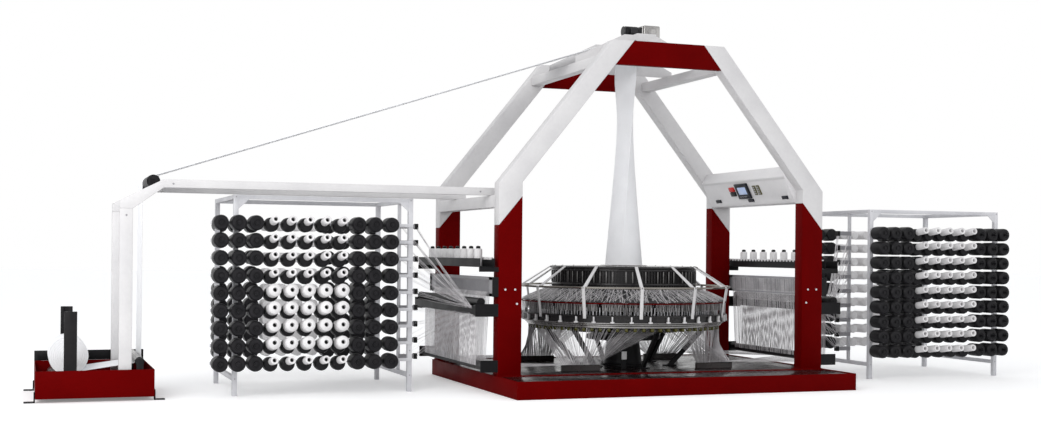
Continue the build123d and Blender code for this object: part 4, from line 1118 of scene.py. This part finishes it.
@dataclass
class FeedUnits:
    """The side units between creels and frame: plates, shelf, spools, comb and rollers."""

    comb_teeth: int = 120

    def build(self) -> None:
        """Build both units."""
        for side in ("left", "right"):
            self.carrier(side)
            self.roller(f"feed_roller_{side}", f"feed_{side}")
            self.roller(f"low_roller_{side}", f"low_{side}")
        self.combs()
        self.spools()

    def carrier(self, side: str) -> None:
        """The shelf channel and the bar of one side, on brackets that stand out from the columns.

        Args:
            side: left or right.
        """
        way = -1 if side == "left" else 1
        parts = []
        for low, high in (((1.84, -1.07, 1.215), (1.99, 1.07, 1.22)),
                          ((1.84, -1.07, 1.215), (1.845, 1.07, 1.3)),
                          ((1.985, -1.07, 1.215), (1.99, 1.07, 1.3)),
                          ((1.92, -1.056, 0.76), (2.03, 1.056, 0.84))):
            parts.append(self.mirrored_block(way, low, high))
        for end in (-1, 1):
            y = sorted((end * 1.054, end * 1.07))
            for x_high, z_low, z_high in ((1.995, 1.17, 1.215), (1.86, 0.93, 1.12), (2.03, 0.74, 0.862),
                                          (1.975, 0.205, 0.32)):
                parts.append(self.mirrored_block(way, (1.799, y[0], z_low), (x_high, y[1], z_high)))
        Bench.mount(Bench.join(f"feed_frame_{side}_formed", parts), "black_paint", "frame",
                    f"feed_frame_{side}")

    @staticmethod
    def mirrored_block(way: int, low: Point, high: Point) -> Piece:
        """A rounded block on the right side, or its mirror place on the left."""
        x = sorted((way * low[0], way * high[0]))
        return Bench.block("part", (x[0], low[1], low[2]), (x[1], high[1], high[2]), 0.002)

    def roller(self, node: str, body: str) -> None:
        """A long black roller with collars, in the place of its CAD node.

        Args:
            node: the CAD node that it stands for.
            body: the body that it rides on.
        """
        low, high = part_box(node)
        middle = (low + high) / 2
        radius, half = (high.z - low.z) / 2, (high.y - low.y) / 2
        near = [(0.015, -half), (0.015, 0.006 - half), (radius * 0.9, 0.0065 - half), (radius, 0.012 - half),
                (radius, 0.05 - half), (radius * 0.97, 0.053 - half)]
        profile = near + [(wide, -at) for wide, at in reversed(near)]
        Bench.mount(Bench.lathe(f"{node}_turned", profile, 40, along_y(*middle)), "black_paint", body, node)

    def combs(self) -> None:
        """Combs of close upright teeth between two pale bars."""
        parts = []
        teeth = []
        for side in (-1, 1):
            low, high = sorted((side * 1.83, side * 1.842))
            parts.append(Bench.block("bar", (low, -1.056, 0.93), (high, 1.056, 0.962), 0.002))
            parts.append(Bench.block("bar", (low, -1.056, 1.088), (high, 1.056, 1.12), 0.002))
            parts.append(Bench.block("cheek", (low, -1.056, 0.93), (high, -0.9, 1.12), 0.002))
            parts.append(Bench.block("cheek", (low, 0.9, 0.93), (high, 1.056, 1.12), 0.002))
            teeth += [Matrix.Translation((side * 1.836, -0.9 + 1.8 * (k + 0.5) / self.comb_teeth, 0.0))
                      for k in range(self.comb_teeth)]
        tooth = Bench.block("tooth", (-0.005, -0.002, 0.955), (0.005, 0.002, 1.095), 0.0)
        Bench.mount(Bench.join("tape_combs_formed", [*parts, Bench.repeat("teeth", tooth, teeth)]),
                    "grey_paint",
                    "frame", "tape_combs")

    def spools(self) -> None:
        """White spools with black hearts on both shelves."""
        spool = Bench.lathe("spool", [(0.022, 1.22), (0.036, 1.222), (0.04, 1.232), (0.04, 1.375),
                                      (0.036, 1.39), (0.022, 1.394), (0.02, 1.41), (0.004, 1.42)], 20)
        heart = Bench.lathe("heart", [(0.0225, 1.392), (0.0225, 1.413), (0.012, 1.4195), (0.006, 1.42)], 12)
        places = [Matrix.Translation((side * 1.915, -0.9 + 0.225 * (k + 0.5), 0)) for side in (-1, 1)
                  for k in range(8)]
        Bench.mount(Bench.repeat("weft_spools_formed", spool, places), "white_bobbin", "frame", "weft_spools")
        Bench.mount(Bench.repeat("spool_hearts", heart, places), "button_black")
        clip = Bench.block("clip", (-0.02, -0.012, 1.285), (0.02, 0.012, 1.312), 0.002)
        spots = [Matrix.Translation((side * 1.85, -0.98 + 0.0675 * k, 0)) for side in (-1,
                                                                                       1) for k in range(30)]
        Bench.mount(Bench.repeat("shelf_clips", clip, spots), "white_bobbin")
        ends = []
        for side in (-1, 1):
            low, high = sorted((side * 1.93, side * 2.028))
            ends.append(Bench.block("bar_end", (low, -1.068, 0.75), (high, -0.99, 0.85), 0.004))
        Bench.mount(Bench.join("bar_end_housings", ends), "button_black")


@dataclass
class FabricLine:
    """The woven tube, the take-up and the flat web down to the winder."""

    half_width: float = 0.28
    tube_sides: int = 96

    def build(self) -> None:
        """Build the cloth first, and then what draws it along."""
        self.tube()
        self.web()
        self.web_edges()
        self.take_up()
        self.motor()

    def ring_points(self, height: float, reach: float, half_width: float, crease: float,
                    twist: float) -> list[Point]:
        """Points round the tube at one height.

        Args:
            height: the height of the ring of points.
            reach: half its size along the machine.
            half_width: half its size across the machine, at the two folds.
            crease: 0.5 for a round tube, 1 for one with sharp folds.
            twist: how far the folds are turned from straight across, in degrees.

        Returns:
            The points in order.
        """
        points = []
        for side in range(self.tube_sides):
            turn = 2 * math.pi * side / self.tube_sides
            along = math.copysign(abs(math.cos(turn)) ** (2 * crease), math.cos(turn))
            spot = Vector((reach * along, half_width * math.sin(turn), height))
            points.append(tuple(Matrix.Rotation(math.radians(twist), 3, "Z") @ spot))
        return points

    def tube(self) -> None:
        """The woven tube: a thin wall, round below, folded along its front and back, and flat at the nip."""
        levels = [(1.172, 0.1995, 0.1995, 0.5, -28.0), (1.245, 0.1995, 0.1995, 0.5, -28.0)]
        for step in range(1, 17):
            share = step / 16
            levels.append((1.245 + 1.99 * share, 0.1995 - 0.1765 * share, 0.1995 + 0.0805 * share,
                           min(1.0, 0.58 + 2.2 * share), -28.0 * (1.0 - share)))
        levels.append((3.5885, 0.0015, 0.28, 1.0, 0.0))
        points = [p for level in levels for p in self.ring_points(*level)]
        count = self.tube_sides
        faces = [(low * count + here, low * count + (here + 1) % count,
                  (low + 1) * count + (here + 1) % count,
                  (low + 1) * count + here) for low in range(len(levels) - 1) for here in range(count)]
        piece = Bench.add_points("woven_tube", points, faces)
        Bench.thicken(piece, 0.0008, -1.0)
        Bench.smooth(piece, 30.0)
        Bench.mount(piece, "woven_fabric", "frame", "fabric_tube")

    def web_path(self) -> list[tuple[float, float]]:
        """Points in X and Z along the web: take-up roller, arm roller, front roller, drive roller."""
        circles = [((-0.062, 3.59), 0.0583, 1), ((-4.99, 1.97), 0.0603, 1), ((-5.0956, 0.345), 0.0453, -1),
                   ((-5.565, 0.17863), 0.0553, 1)]
        path: list[tuple[float, float]] = []
        last = 0.0
        for (here, r_here, turn), (there, r_there, next_turn) in zip(circles, circles[1:]):
            run = math.hypot(there[0] - here[0], there[1] - here[1])
            ahead = math.atan2(there[1] - here[1], there[0] - here[0])
            way = ahead + math.asin((turn * r_here - next_turn * r_there) / run)
            leave = way - turn * math.pi / 2
            arrive = way - next_turn * math.pi / 2
            while leave < last - 1e-9 and turn > 0:
                leave += 2 * math.pi
            while leave > last + 1e-9 and turn < 0:
                leave -= 2 * math.pi
            steps = 12
            for step in range(steps + 1):
                angle = last + (leave - last) * step / steps
                path.append((here[0] + r_here * math.cos(angle), here[1] + r_here * math.sin(angle)))
            last = arrive
            goal = (there[0] + r_there * math.cos(arrive), there[1] + r_there * math.sin(arrive))
            for step in range(1, 8):
                share = step / 8
                path.append((path[-1][0] + (goal[0] - path[-1][0]) * share, path[-1][1]
                             + (goal[1] - path[-1][1]) * share))
            path.append(goal)
        return path

    def web(self) -> None:
        """The flat web, one thin sheet on its way to the winder."""
        path = self.web_path()
        strands = 14
        points = [(x, -self.half_width + 2 * self.half_width * k / strands, z) for x, z in path
                  for k in range(strands + 1)]
        row = strands + 1
        faces = [(a * row + k, a * row + k + 1, (a + 1) * row + k + 1, (a + 1) * row + k)
                 for a in range(len(path) - 1) for k in range(strands)]
        piece = Bench.add_points("flat_web", points, faces)
        Bench.face_outwards(piece)
        Bench.thicken(piece, 0.0016, 0.0)
        Bench.smooth(piece, 40.0)
        Bench.mount(piece, "woven_fabric", "frame", "fabric_web")

    def web_edges(self) -> None:
        """The folded edges of the flattened tube, a little thicker than the web."""
        path = self.web_path()
        ring = [(0.006, 0.0), (0.003, 0.0038), (-0.003, 0.0038), (-0.006, 0.0), (-0.003, -0.0038),
                (0.003, -0.0038)]
        points, faces = [], []
        for edge in (-1, 1):
            base = len(points)
            for index, (x, z) in enumerate(path):
                before, after = path[max(index - 1, 0)], path[min(index + 1, len(path) - 1)]
                way = Vector((after[0] - before[0], 0.0, after[1] - before[1])).normalized()
                out = Vector((-way.z, 0.0, way.x))
                points += [(x + out.x * rise, edge * (self.half_width - 0.003) + side, z + out.z * rise)
                           for side, rise in ring]
            last = base + 6 * (len(path) - 1)
            faces += [(base + 6 * a + k, base + 6 * a + (k + 1) % 6, base + 6 * a + 6 + (k + 1) % 6,
                       base + 6 * a + 6 + k) for a in range(len(path) - 1) for k in range(6)]
            faces += [tuple(base + k for k in range(6)), tuple(last + k for k in reversed(range(6)))]
        piece = Bench.face_outwards(Bench.add_points("web_fold_edges", points, faces))
        Bench.mount(Bench.smooth(piece, 50.0), "woven_fabric")

    def turned(self, node: str, body: str, slot: str, stub: float = 0.015, grooves: int = 0) -> None:
        """A roller in the place of its CAD node, with chamfered ends and shaft stubs.

        Args:
            node: the CAD node that it stands for.
            body: the body that it rides on.
            slot: the slot of its finish.
            stub: the radius of its shaft stubs.
            grooves: shallow grooves along its drum.
        """
        low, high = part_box(node)
        middle = (low + high) / 2
        radius, half = (high.z - low.z) / 2, (high.y - low.y) / 2
        reach = half - 0.022
        profile = [(stub * 0.8, -half), (stub, -half + 0.002), (stub, -reach),
                   (radius - 0.004, -reach + 0.0005), (radius, -reach + 0.005)]
        for index in range(grooves):
            y = -reach + 2 * reach * (index + 1) / (grooves + 1)
            profile += [(radius, y - 0.006), (radius - 0.003, y - 0.004), (radius - 0.003, y + 0.004),
                        (radius, y + 0.006)]
        profile += [(radius, reach - 0.005), (radius - 0.004, reach - 0.0005), (stub, reach),
                    (stub, half - 0.002), (stub * 0.8, half)]
        Bench.mount(Bench.lathe(f"{node}_turned", profile, 48, along_y(*middle)), slot, body, node)

    def take_up(self) -> None:
        """Nip rollers between the cheek plates, and the roller on the arm."""
        self.turned("takeup_roller", "takeup", "bright_steel")
        self.turned("takeup_press_roller", "press", "white_bobbin")
        self.turned("arm_roller", "arm_wheel", "black_paint", 0.015, 6)
        Bench.form(("takeup_cheeks", "pale_paint", 0.002), ("roller_bearings", "black_paint", 0.002))

    def motor(self) -> None:
        """Finned motor on its gearbox, with a terminal box."""
        low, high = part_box("takeup_gearmotor")
        centre_y, centre_z = -0.06, (low.z + high.z) / 2
        body = [(0.02, 0.0), (0.05, 0.001), (0.056, 0.008)]
        for fin in range(9):
            at = 0.03 + 0.016 * fin
            body += [(0.048, at), (0.0575, at + 0.002), (0.0575, at + 0.006), (0.048, at + 0.008)]
        body += [(0.05, 0.18), (0.056, 0.185), (0.056, 0.2), (0.02, 0.21)]
        place = Matrix.Translation((low.x, centre_y, centre_z)) @ spin(90, "Y")
        motor = Bench.lathe("motor", body, 40, place)
        box = Bench.block("terminal_box", (low.x + 0.07, centre_y - 0.075, centre_z - 0.03),
                          (low.x + 0.15, centre_y - 0.035, centre_z + 0.03), 0.004)
        Bench.mount(Bench.join("takeup_motor", [motor, box]), "motor_dark", "frame", "takeup_gearmotor")
        gear = Bench.block("gearbox", (high.x - 0.188, centre_y - 0.093, low.z),
                           (high.x, centre_y + 0.093, high.z),
                           0.012, 3)
        hub = Bench.lathe("gearbox_hub", [(0.05, 0.0), (0.05, 0.006), (0.04, 0.01), (0.02, 0.011)], 32,
                          along_y(high.x - 0.094, centre_y - 0.093, centre_z))
        flange = Bench.block("flange", (high.x - 0.2, centre_y - 0.07, low.z + 0.004),
                             (high.x - 0.184, centre_y + 0.07, high.z - 0.004), 0.004)
        Bench.mount(Bench.join("takeup_gearbox", [gear, hub, flange]), "bright_steel")


@dataclass
class WinderArm:
    """The arm over the left creel and the winder at its end."""

    mid_y: float = -0.2
    roll_x: float = -5.69
    roll_z: float = 0.372
    roll_radius: float = 0.175

    def build(self) -> None:
        """Build the arm, the tray and everything in it."""
        Bench.form(("arm_rails", "pale_paint", 0.004), ("arm_posts", "pale_paint", 0.004),
                   ("winder_base", "maroon_paint", 0.003), ("winder_feet", "black_paint", 0.003),
                   ("winder_guides", "black_paint", 0.004),
                   ("bearing_blocks", "bright_steel", 0.0015, "blocks"))
        self.roll()
        self.rollers()
        self.arm_details()

    def roll(self) -> None:
        """The wound cloth with its layered ends, on its shaft."""
        near = [(0.0215, 0.278)]
        layers = 16
        for index in range(layers):
            radius = 0.024 + (self.roll_radius - 0.024) * (index + 1) / layers
            step = 0.0015 if index % 2 else 0.0
            near += [(radius - 0.0015, 0.279 + step), (radius - 0.0002, 0.279 + step * 0.4)]
        near.append((self.roll_radius, 0.2785))
        profile = [(wide, -at) for wide, at in near] + near[::-1]
        roll = Bench.lathe("fabric_roll_wound", profile, 96, along_y(self.roll_x, 0.0, self.roll_z),
                           ring=True)
        Bench.mount(roll, "woven_fabric", "roll", "fabric_roll")
        near = [(0.012, -0.592), (0.015, -0.59), (0.015, -0.566), (0.021, -0.565)]
        shaft = Bench.lathe("winding_shaft_turned", near + [(wide, -at) for wide, at in reversed(near)], 32,
                            along_y(self.roll_x, self.mid_y, self.roll_z))
        Bench.mount(shaft, "bright_steel", "roll", "winding_shaft")

    def rollers(self) -> None:
        """Bright drive rollers, and the perforated front roller with dark end caps."""
        line = FabricLine()
        line.turned("drive_roller_left", "drive_left", "bright_steel", 0.015, 3)
        line.turned("drive_roller_right", "drive_right", "bright_steel", 0.015, 3)
        line.turned("front_roller", "front_wheel", "bright_steel", 0.015, 0)
        low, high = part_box("front_roller")
        middle = (low + high) / 2
        # Rows of small black discs on the drum: painted shade where the perforations show dark, the holes
        # themselves not being cut.
        hole_shade_disc = Bench.lathe("hole_shade_disc", [(0.0035, 0.0), (0.003, 0.0006), (0.001, 0.0007)], 6)
        spots = []
        for ring in range(22):
            y = -0.50 + 1.0 * ring / 21
            for step in range(10):
                turn = spin(36 * step + 18 * (ring % 2), "Y")
                spots.append(Matrix.Translation((middle.x, middle.y + y, middle.z)) @ turn
                             @ Matrix.Translation((0, 0, 0.0419)))
        Bench.mount(Bench.repeat("front_roller_hole_shade", hole_shade_disc, spots), "button_black", "front_wheel")
        caps = []
        for way in (-1, 1):
            y = middle.y + way * ((high.y - low.y) / 2 - 0.0215)
            turn = spin(90 * way, "X")
            caps.append(Bench.lathe("cap", [(0.016, 0.0), (0.039, 0.0005), (0.042, 0.004), (0.0425, 0.02),
                                            (0.0418, 0.021)], 32,
                                    Matrix.Translation((middle.x, y, middle.z)) @ turn))
        Bench.mount(Bench.join("front_roller_caps", caps), "button_black", "front_wheel")

    def arm_details(self) -> None:
        """End plates on the rails, a foot flange on each post and the screws of the arm."""
        parts = []
        for y in (-0.76, 0.36):
            parts.append(Bench.block("foot_plate", (-5.3, y - 0.034, 0.043), (-5.15, y + 0.034, 0.055),
                                     0.003))
            parts.append(Bench.block("cap", (-1.694, y - 0.036, 1.913), (-1.688, y + 0.036, 1.992), 0.002))
        Bench.mount(Bench.join("arm_flanges", parts), "pale_paint")
        screw = Bench.lathe("screw", [(0.009, -0.001), (0.009, 0.003), (0.005, 0.0055)], 8)
        spots = [along_y(x, -0.795, z) for x, z in ((-1.9, 1.95), (-1.75, 1.95), (-4.82, 1.95),
                                                    (-5.225, 1.66),
                                                    (-5.225, 0.12))]
        Bench.mount(Bench.repeat("arm_screws", screw, spots), "grey_paint")


@dataclass
class ControlBox:
    """The sloping control box with its screen, keys and buttons."""

    foot: Point = (1.5603, 0.0, 1.912)
    slope_up: Point = (-0.442044, 0.0, 0.896994)
    outward: Point = (-0.896994, 0.0, -0.442044)

    def place(self, along: float, up: float, out: float) -> Vector:
        """A point on the sloping face.

        Args:
            along: how far it is towards the front.
            up: how far it is up the slope.
            out: how far it stands out of the face.

        Returns:
            The point.
        """
        return (Vector(self.foot) + Vector((0, -along, 0)) + Vector(self.slope_up) * up
                + Vector(self.outward) * out)

    def pad(self, name: str, along: float, up: float, wide: float, tall: float, out: tuple[float, float],
            bevel: float = 0.002) -> Piece:
        """A raised pad on the face.

        Args:
            name: the piece's name.
            along: its middle, towards the front.
            up: its middle, up the slope.
            wide: its width.
            tall: its height along the slope.
            out: where it starts and ends above the face.
            bevel: the width of its rounded edges.

        Returns:
            The new piece.
        """
        corners = [self.place(along + a * wide / 2, up + b * tall / 2, out[0])
                   for a, b in ((-1, -1), (1, -1), (1, 1), (-1, 1))]
        return Bench.plate(name, corners, Vector(self.outward) * (out[1] - out[0]), bevel)

    def build(self) -> None:
        """Build the box and every control on it."""
        Bench.form(("control_box", "box_grey", 0.003))
        band = self.pad("box_top_band", 0.0, 0.292, 1.82, 0.022, (0.0, 0.004), 0.001)
        Bench.mount(band, "pale_paint")
        Bench.form(("screen_frame", "screen_black", 0.003), ("screen_glass", "screen_blue", 0.0008),
                   ("key_strips", "key_olive", 0.002), ("stop_button", "button_red", 0.003, "stop_cap"),
                   ("start_button", "button_black", 0.003, "start_cap"),
                   ("left_rocker", "screen_black", 0.0015, "rocker_left"),
                   ("right_rocker", "screen_black", 0.0015, "rocker_right"),
                   ("screen_rocker", "screen_black", 0.0015, "rocker_screen"))
        keys = [self.pad("key", x + dx, 0.178 + dz, 0.018, 0.014, (0.0095, 0.0135), 0.001)
                for x in (0.220, 0.305) for dx in (-0.012, 0.012) for dz in (-0.036, -0.012, 0.012, 0.036)]
        Bench.mount(Bench.join("strip_keys", keys), "grey_paint")
        lamps = [self.pad("lamp", -0.12 + 0.024 * k, 0.118, 0.012, 0.01, (0.0215, 0.024),
                          0.001) for k in range(7)]
        Bench.mount(Bench.join("screen_keys", lamps), "grey_paint")


@dataclass
class Studio:
    """Camera, light and floor."""

    lens: float = 46.9
    eye: Point = (-6.083, -13.368, 1.35)
    yaw: float = 0.3511
    roll: float = 0.0094
    shift: float = 0.0311
    aim: Point = (-0.5, 0.0, 1.2)
    floor_size: float = 160.0
    floor_lift: float = 0.215
    soft_light: float = 0.82

    def build(self) -> None:
        """Set up the view, the lamps, the world and the floor."""
        camera = bpy.data.objects.new("camera", bpy.data.cameras.new("camera"))
        bpy.context.scene.collection.objects.link(camera)
        camera.data.lens = self.lens
        camera.data.shift_y = self.shift
        camera.location = self.eye
        turn = (Quaternion((0, 0, 1), -self.yaw) @ Quaternion((1, 0, 0), math.pi / 2)
                @ Quaternion((0, 0, 1), self.roll))
        camera.rotation_euler = turn.to_euler()
        camera.data.clip_end = 300.0
        bpy.context.scene.camera = camera
        bpy.context.scene.view_settings.view_transform = "Standard"
        self.lamp("key", (-9.5, -8.0, 5.5), 6.5, 600.0)
        self.lamp("fill", (7.5, -10.0, 5.0), 7.0, 90.0)
        self.world()
        self.floor()

    def lamp(self, name: str, place: Point, size: float, power: float) -> None:
        """A large soft lamp aimed at the loom's middle.

        Args:
            name: the lamp's name.
            place: where it stands.
            size: its width in metres.
            power: its power in watts.
        """
        lamp = bpy.data.objects.new(name, bpy.data.lights.new(name, "AREA"))
        bpy.context.scene.collection.objects.link(lamp)
        lamp.data.size = size
        lamp.data.energy = power
        lamp.location = place
        lamp.rotation_euler = (Vector(self.aim) - Vector(place)).to_track_quat("-Z", "Y").to_euler()

    def world(self) -> None:
        """Soft light all round, and plain white where the camera or a reflection looks past the loom."""
        world = bpy.data.worlds.new("studio")
        bpy.context.scene.world = world
        world.use_nodes = True
        tree = world.node_tree
        soft = tree.nodes["Background"]
        soft.inputs["Color"].default_value = (0.97, 0.98, 1.0, 1.0)
        soft.inputs["Strength"].default_value = self.soft_light
        plain = add_node(tree, "Background", {"Color": (1.0, 1.0, 1.0, 1.0), "Strength": 1.0})
        rays = add_node(tree, "LightPath")
        seen = add_node(tree, "Math", operation="MAXIMUM")
        any_seen = add_node(tree, "Math", operation="MAXIMUM")
        mix = add_node(tree, "MixShader")
        wire(tree, (rays, "Is Camera Ray", seen, 0), (rays, "Is Glossy Ray", seen, 1), (seen, 0, any_seen, 0),
             (rays, "Is Transmission Ray", any_seen, 1), (any_seen, 0, mix, "Fac"),
             (soft, "Background", mix, 1), (plain, "Background", mix, 2),
             (mix, "Shader", tree.nodes["World Output"], "Surface"))

    def floor(self) -> None:
        """A plain pale floor that keeps the loom's shadow, lifted to white for the camera."""
        Bench.clear()
        bpy.ops.mesh.primitive_plane_add(size=self.floor_size)
        floor = bpy.context.object
        floor.name = "studio_floor"
        pale = bpy.data.materials.new("studio_floor")
        pale.use_nodes = True
        tree = pale.node_tree
        shader = tree.nodes["Principled BSDF"]
        for socket, value in (("Base Color", (0.96, 0.96, 0.96, 1.0)), ("Roughness", 0.8),
                              ("Specular IOR Level", 0.1), ("Emission Color", (1.0, 1.0, 1.0, 1.0))):
            shader.inputs[socket].default_value = value
        rays = add_node(tree, "LightPath")
        lift = add_node(tree, "Math", {1: self.floor_lift}, operation="MULTIPLY")
        wire(tree, (rays, "Is Camera Ray", lift, 0), (lift, 0, shader, "Emission Strength"))
        floor.data.materials.append(pale)


def main() -> None:
    """Load the frame and build every assembly."""
    logging.basicConfig(level=logging.INFO, format="%(message)s")
    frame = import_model()
    Bench.paint = Paintshop()
    Bench.paint.build_groups()
    for finish in FINISHES:
        Bench.paint.material(finish)
    slots = {part["node"]: part["material_slot"] for part in frame["record"]["subparts"]}
    for node, piece in frame["nodes"].items():
        Bench.paint.dress(piece, slots[node])
    Studio().build()
    for assembly in (PortalFrame(), LoomHead(), WarpTapes(), Creels(), FeedUnits(), FabricLine(), WinderArm(),
                     ControlBox()):
        assembly.build()


if __name__ == "__main__":
    main()
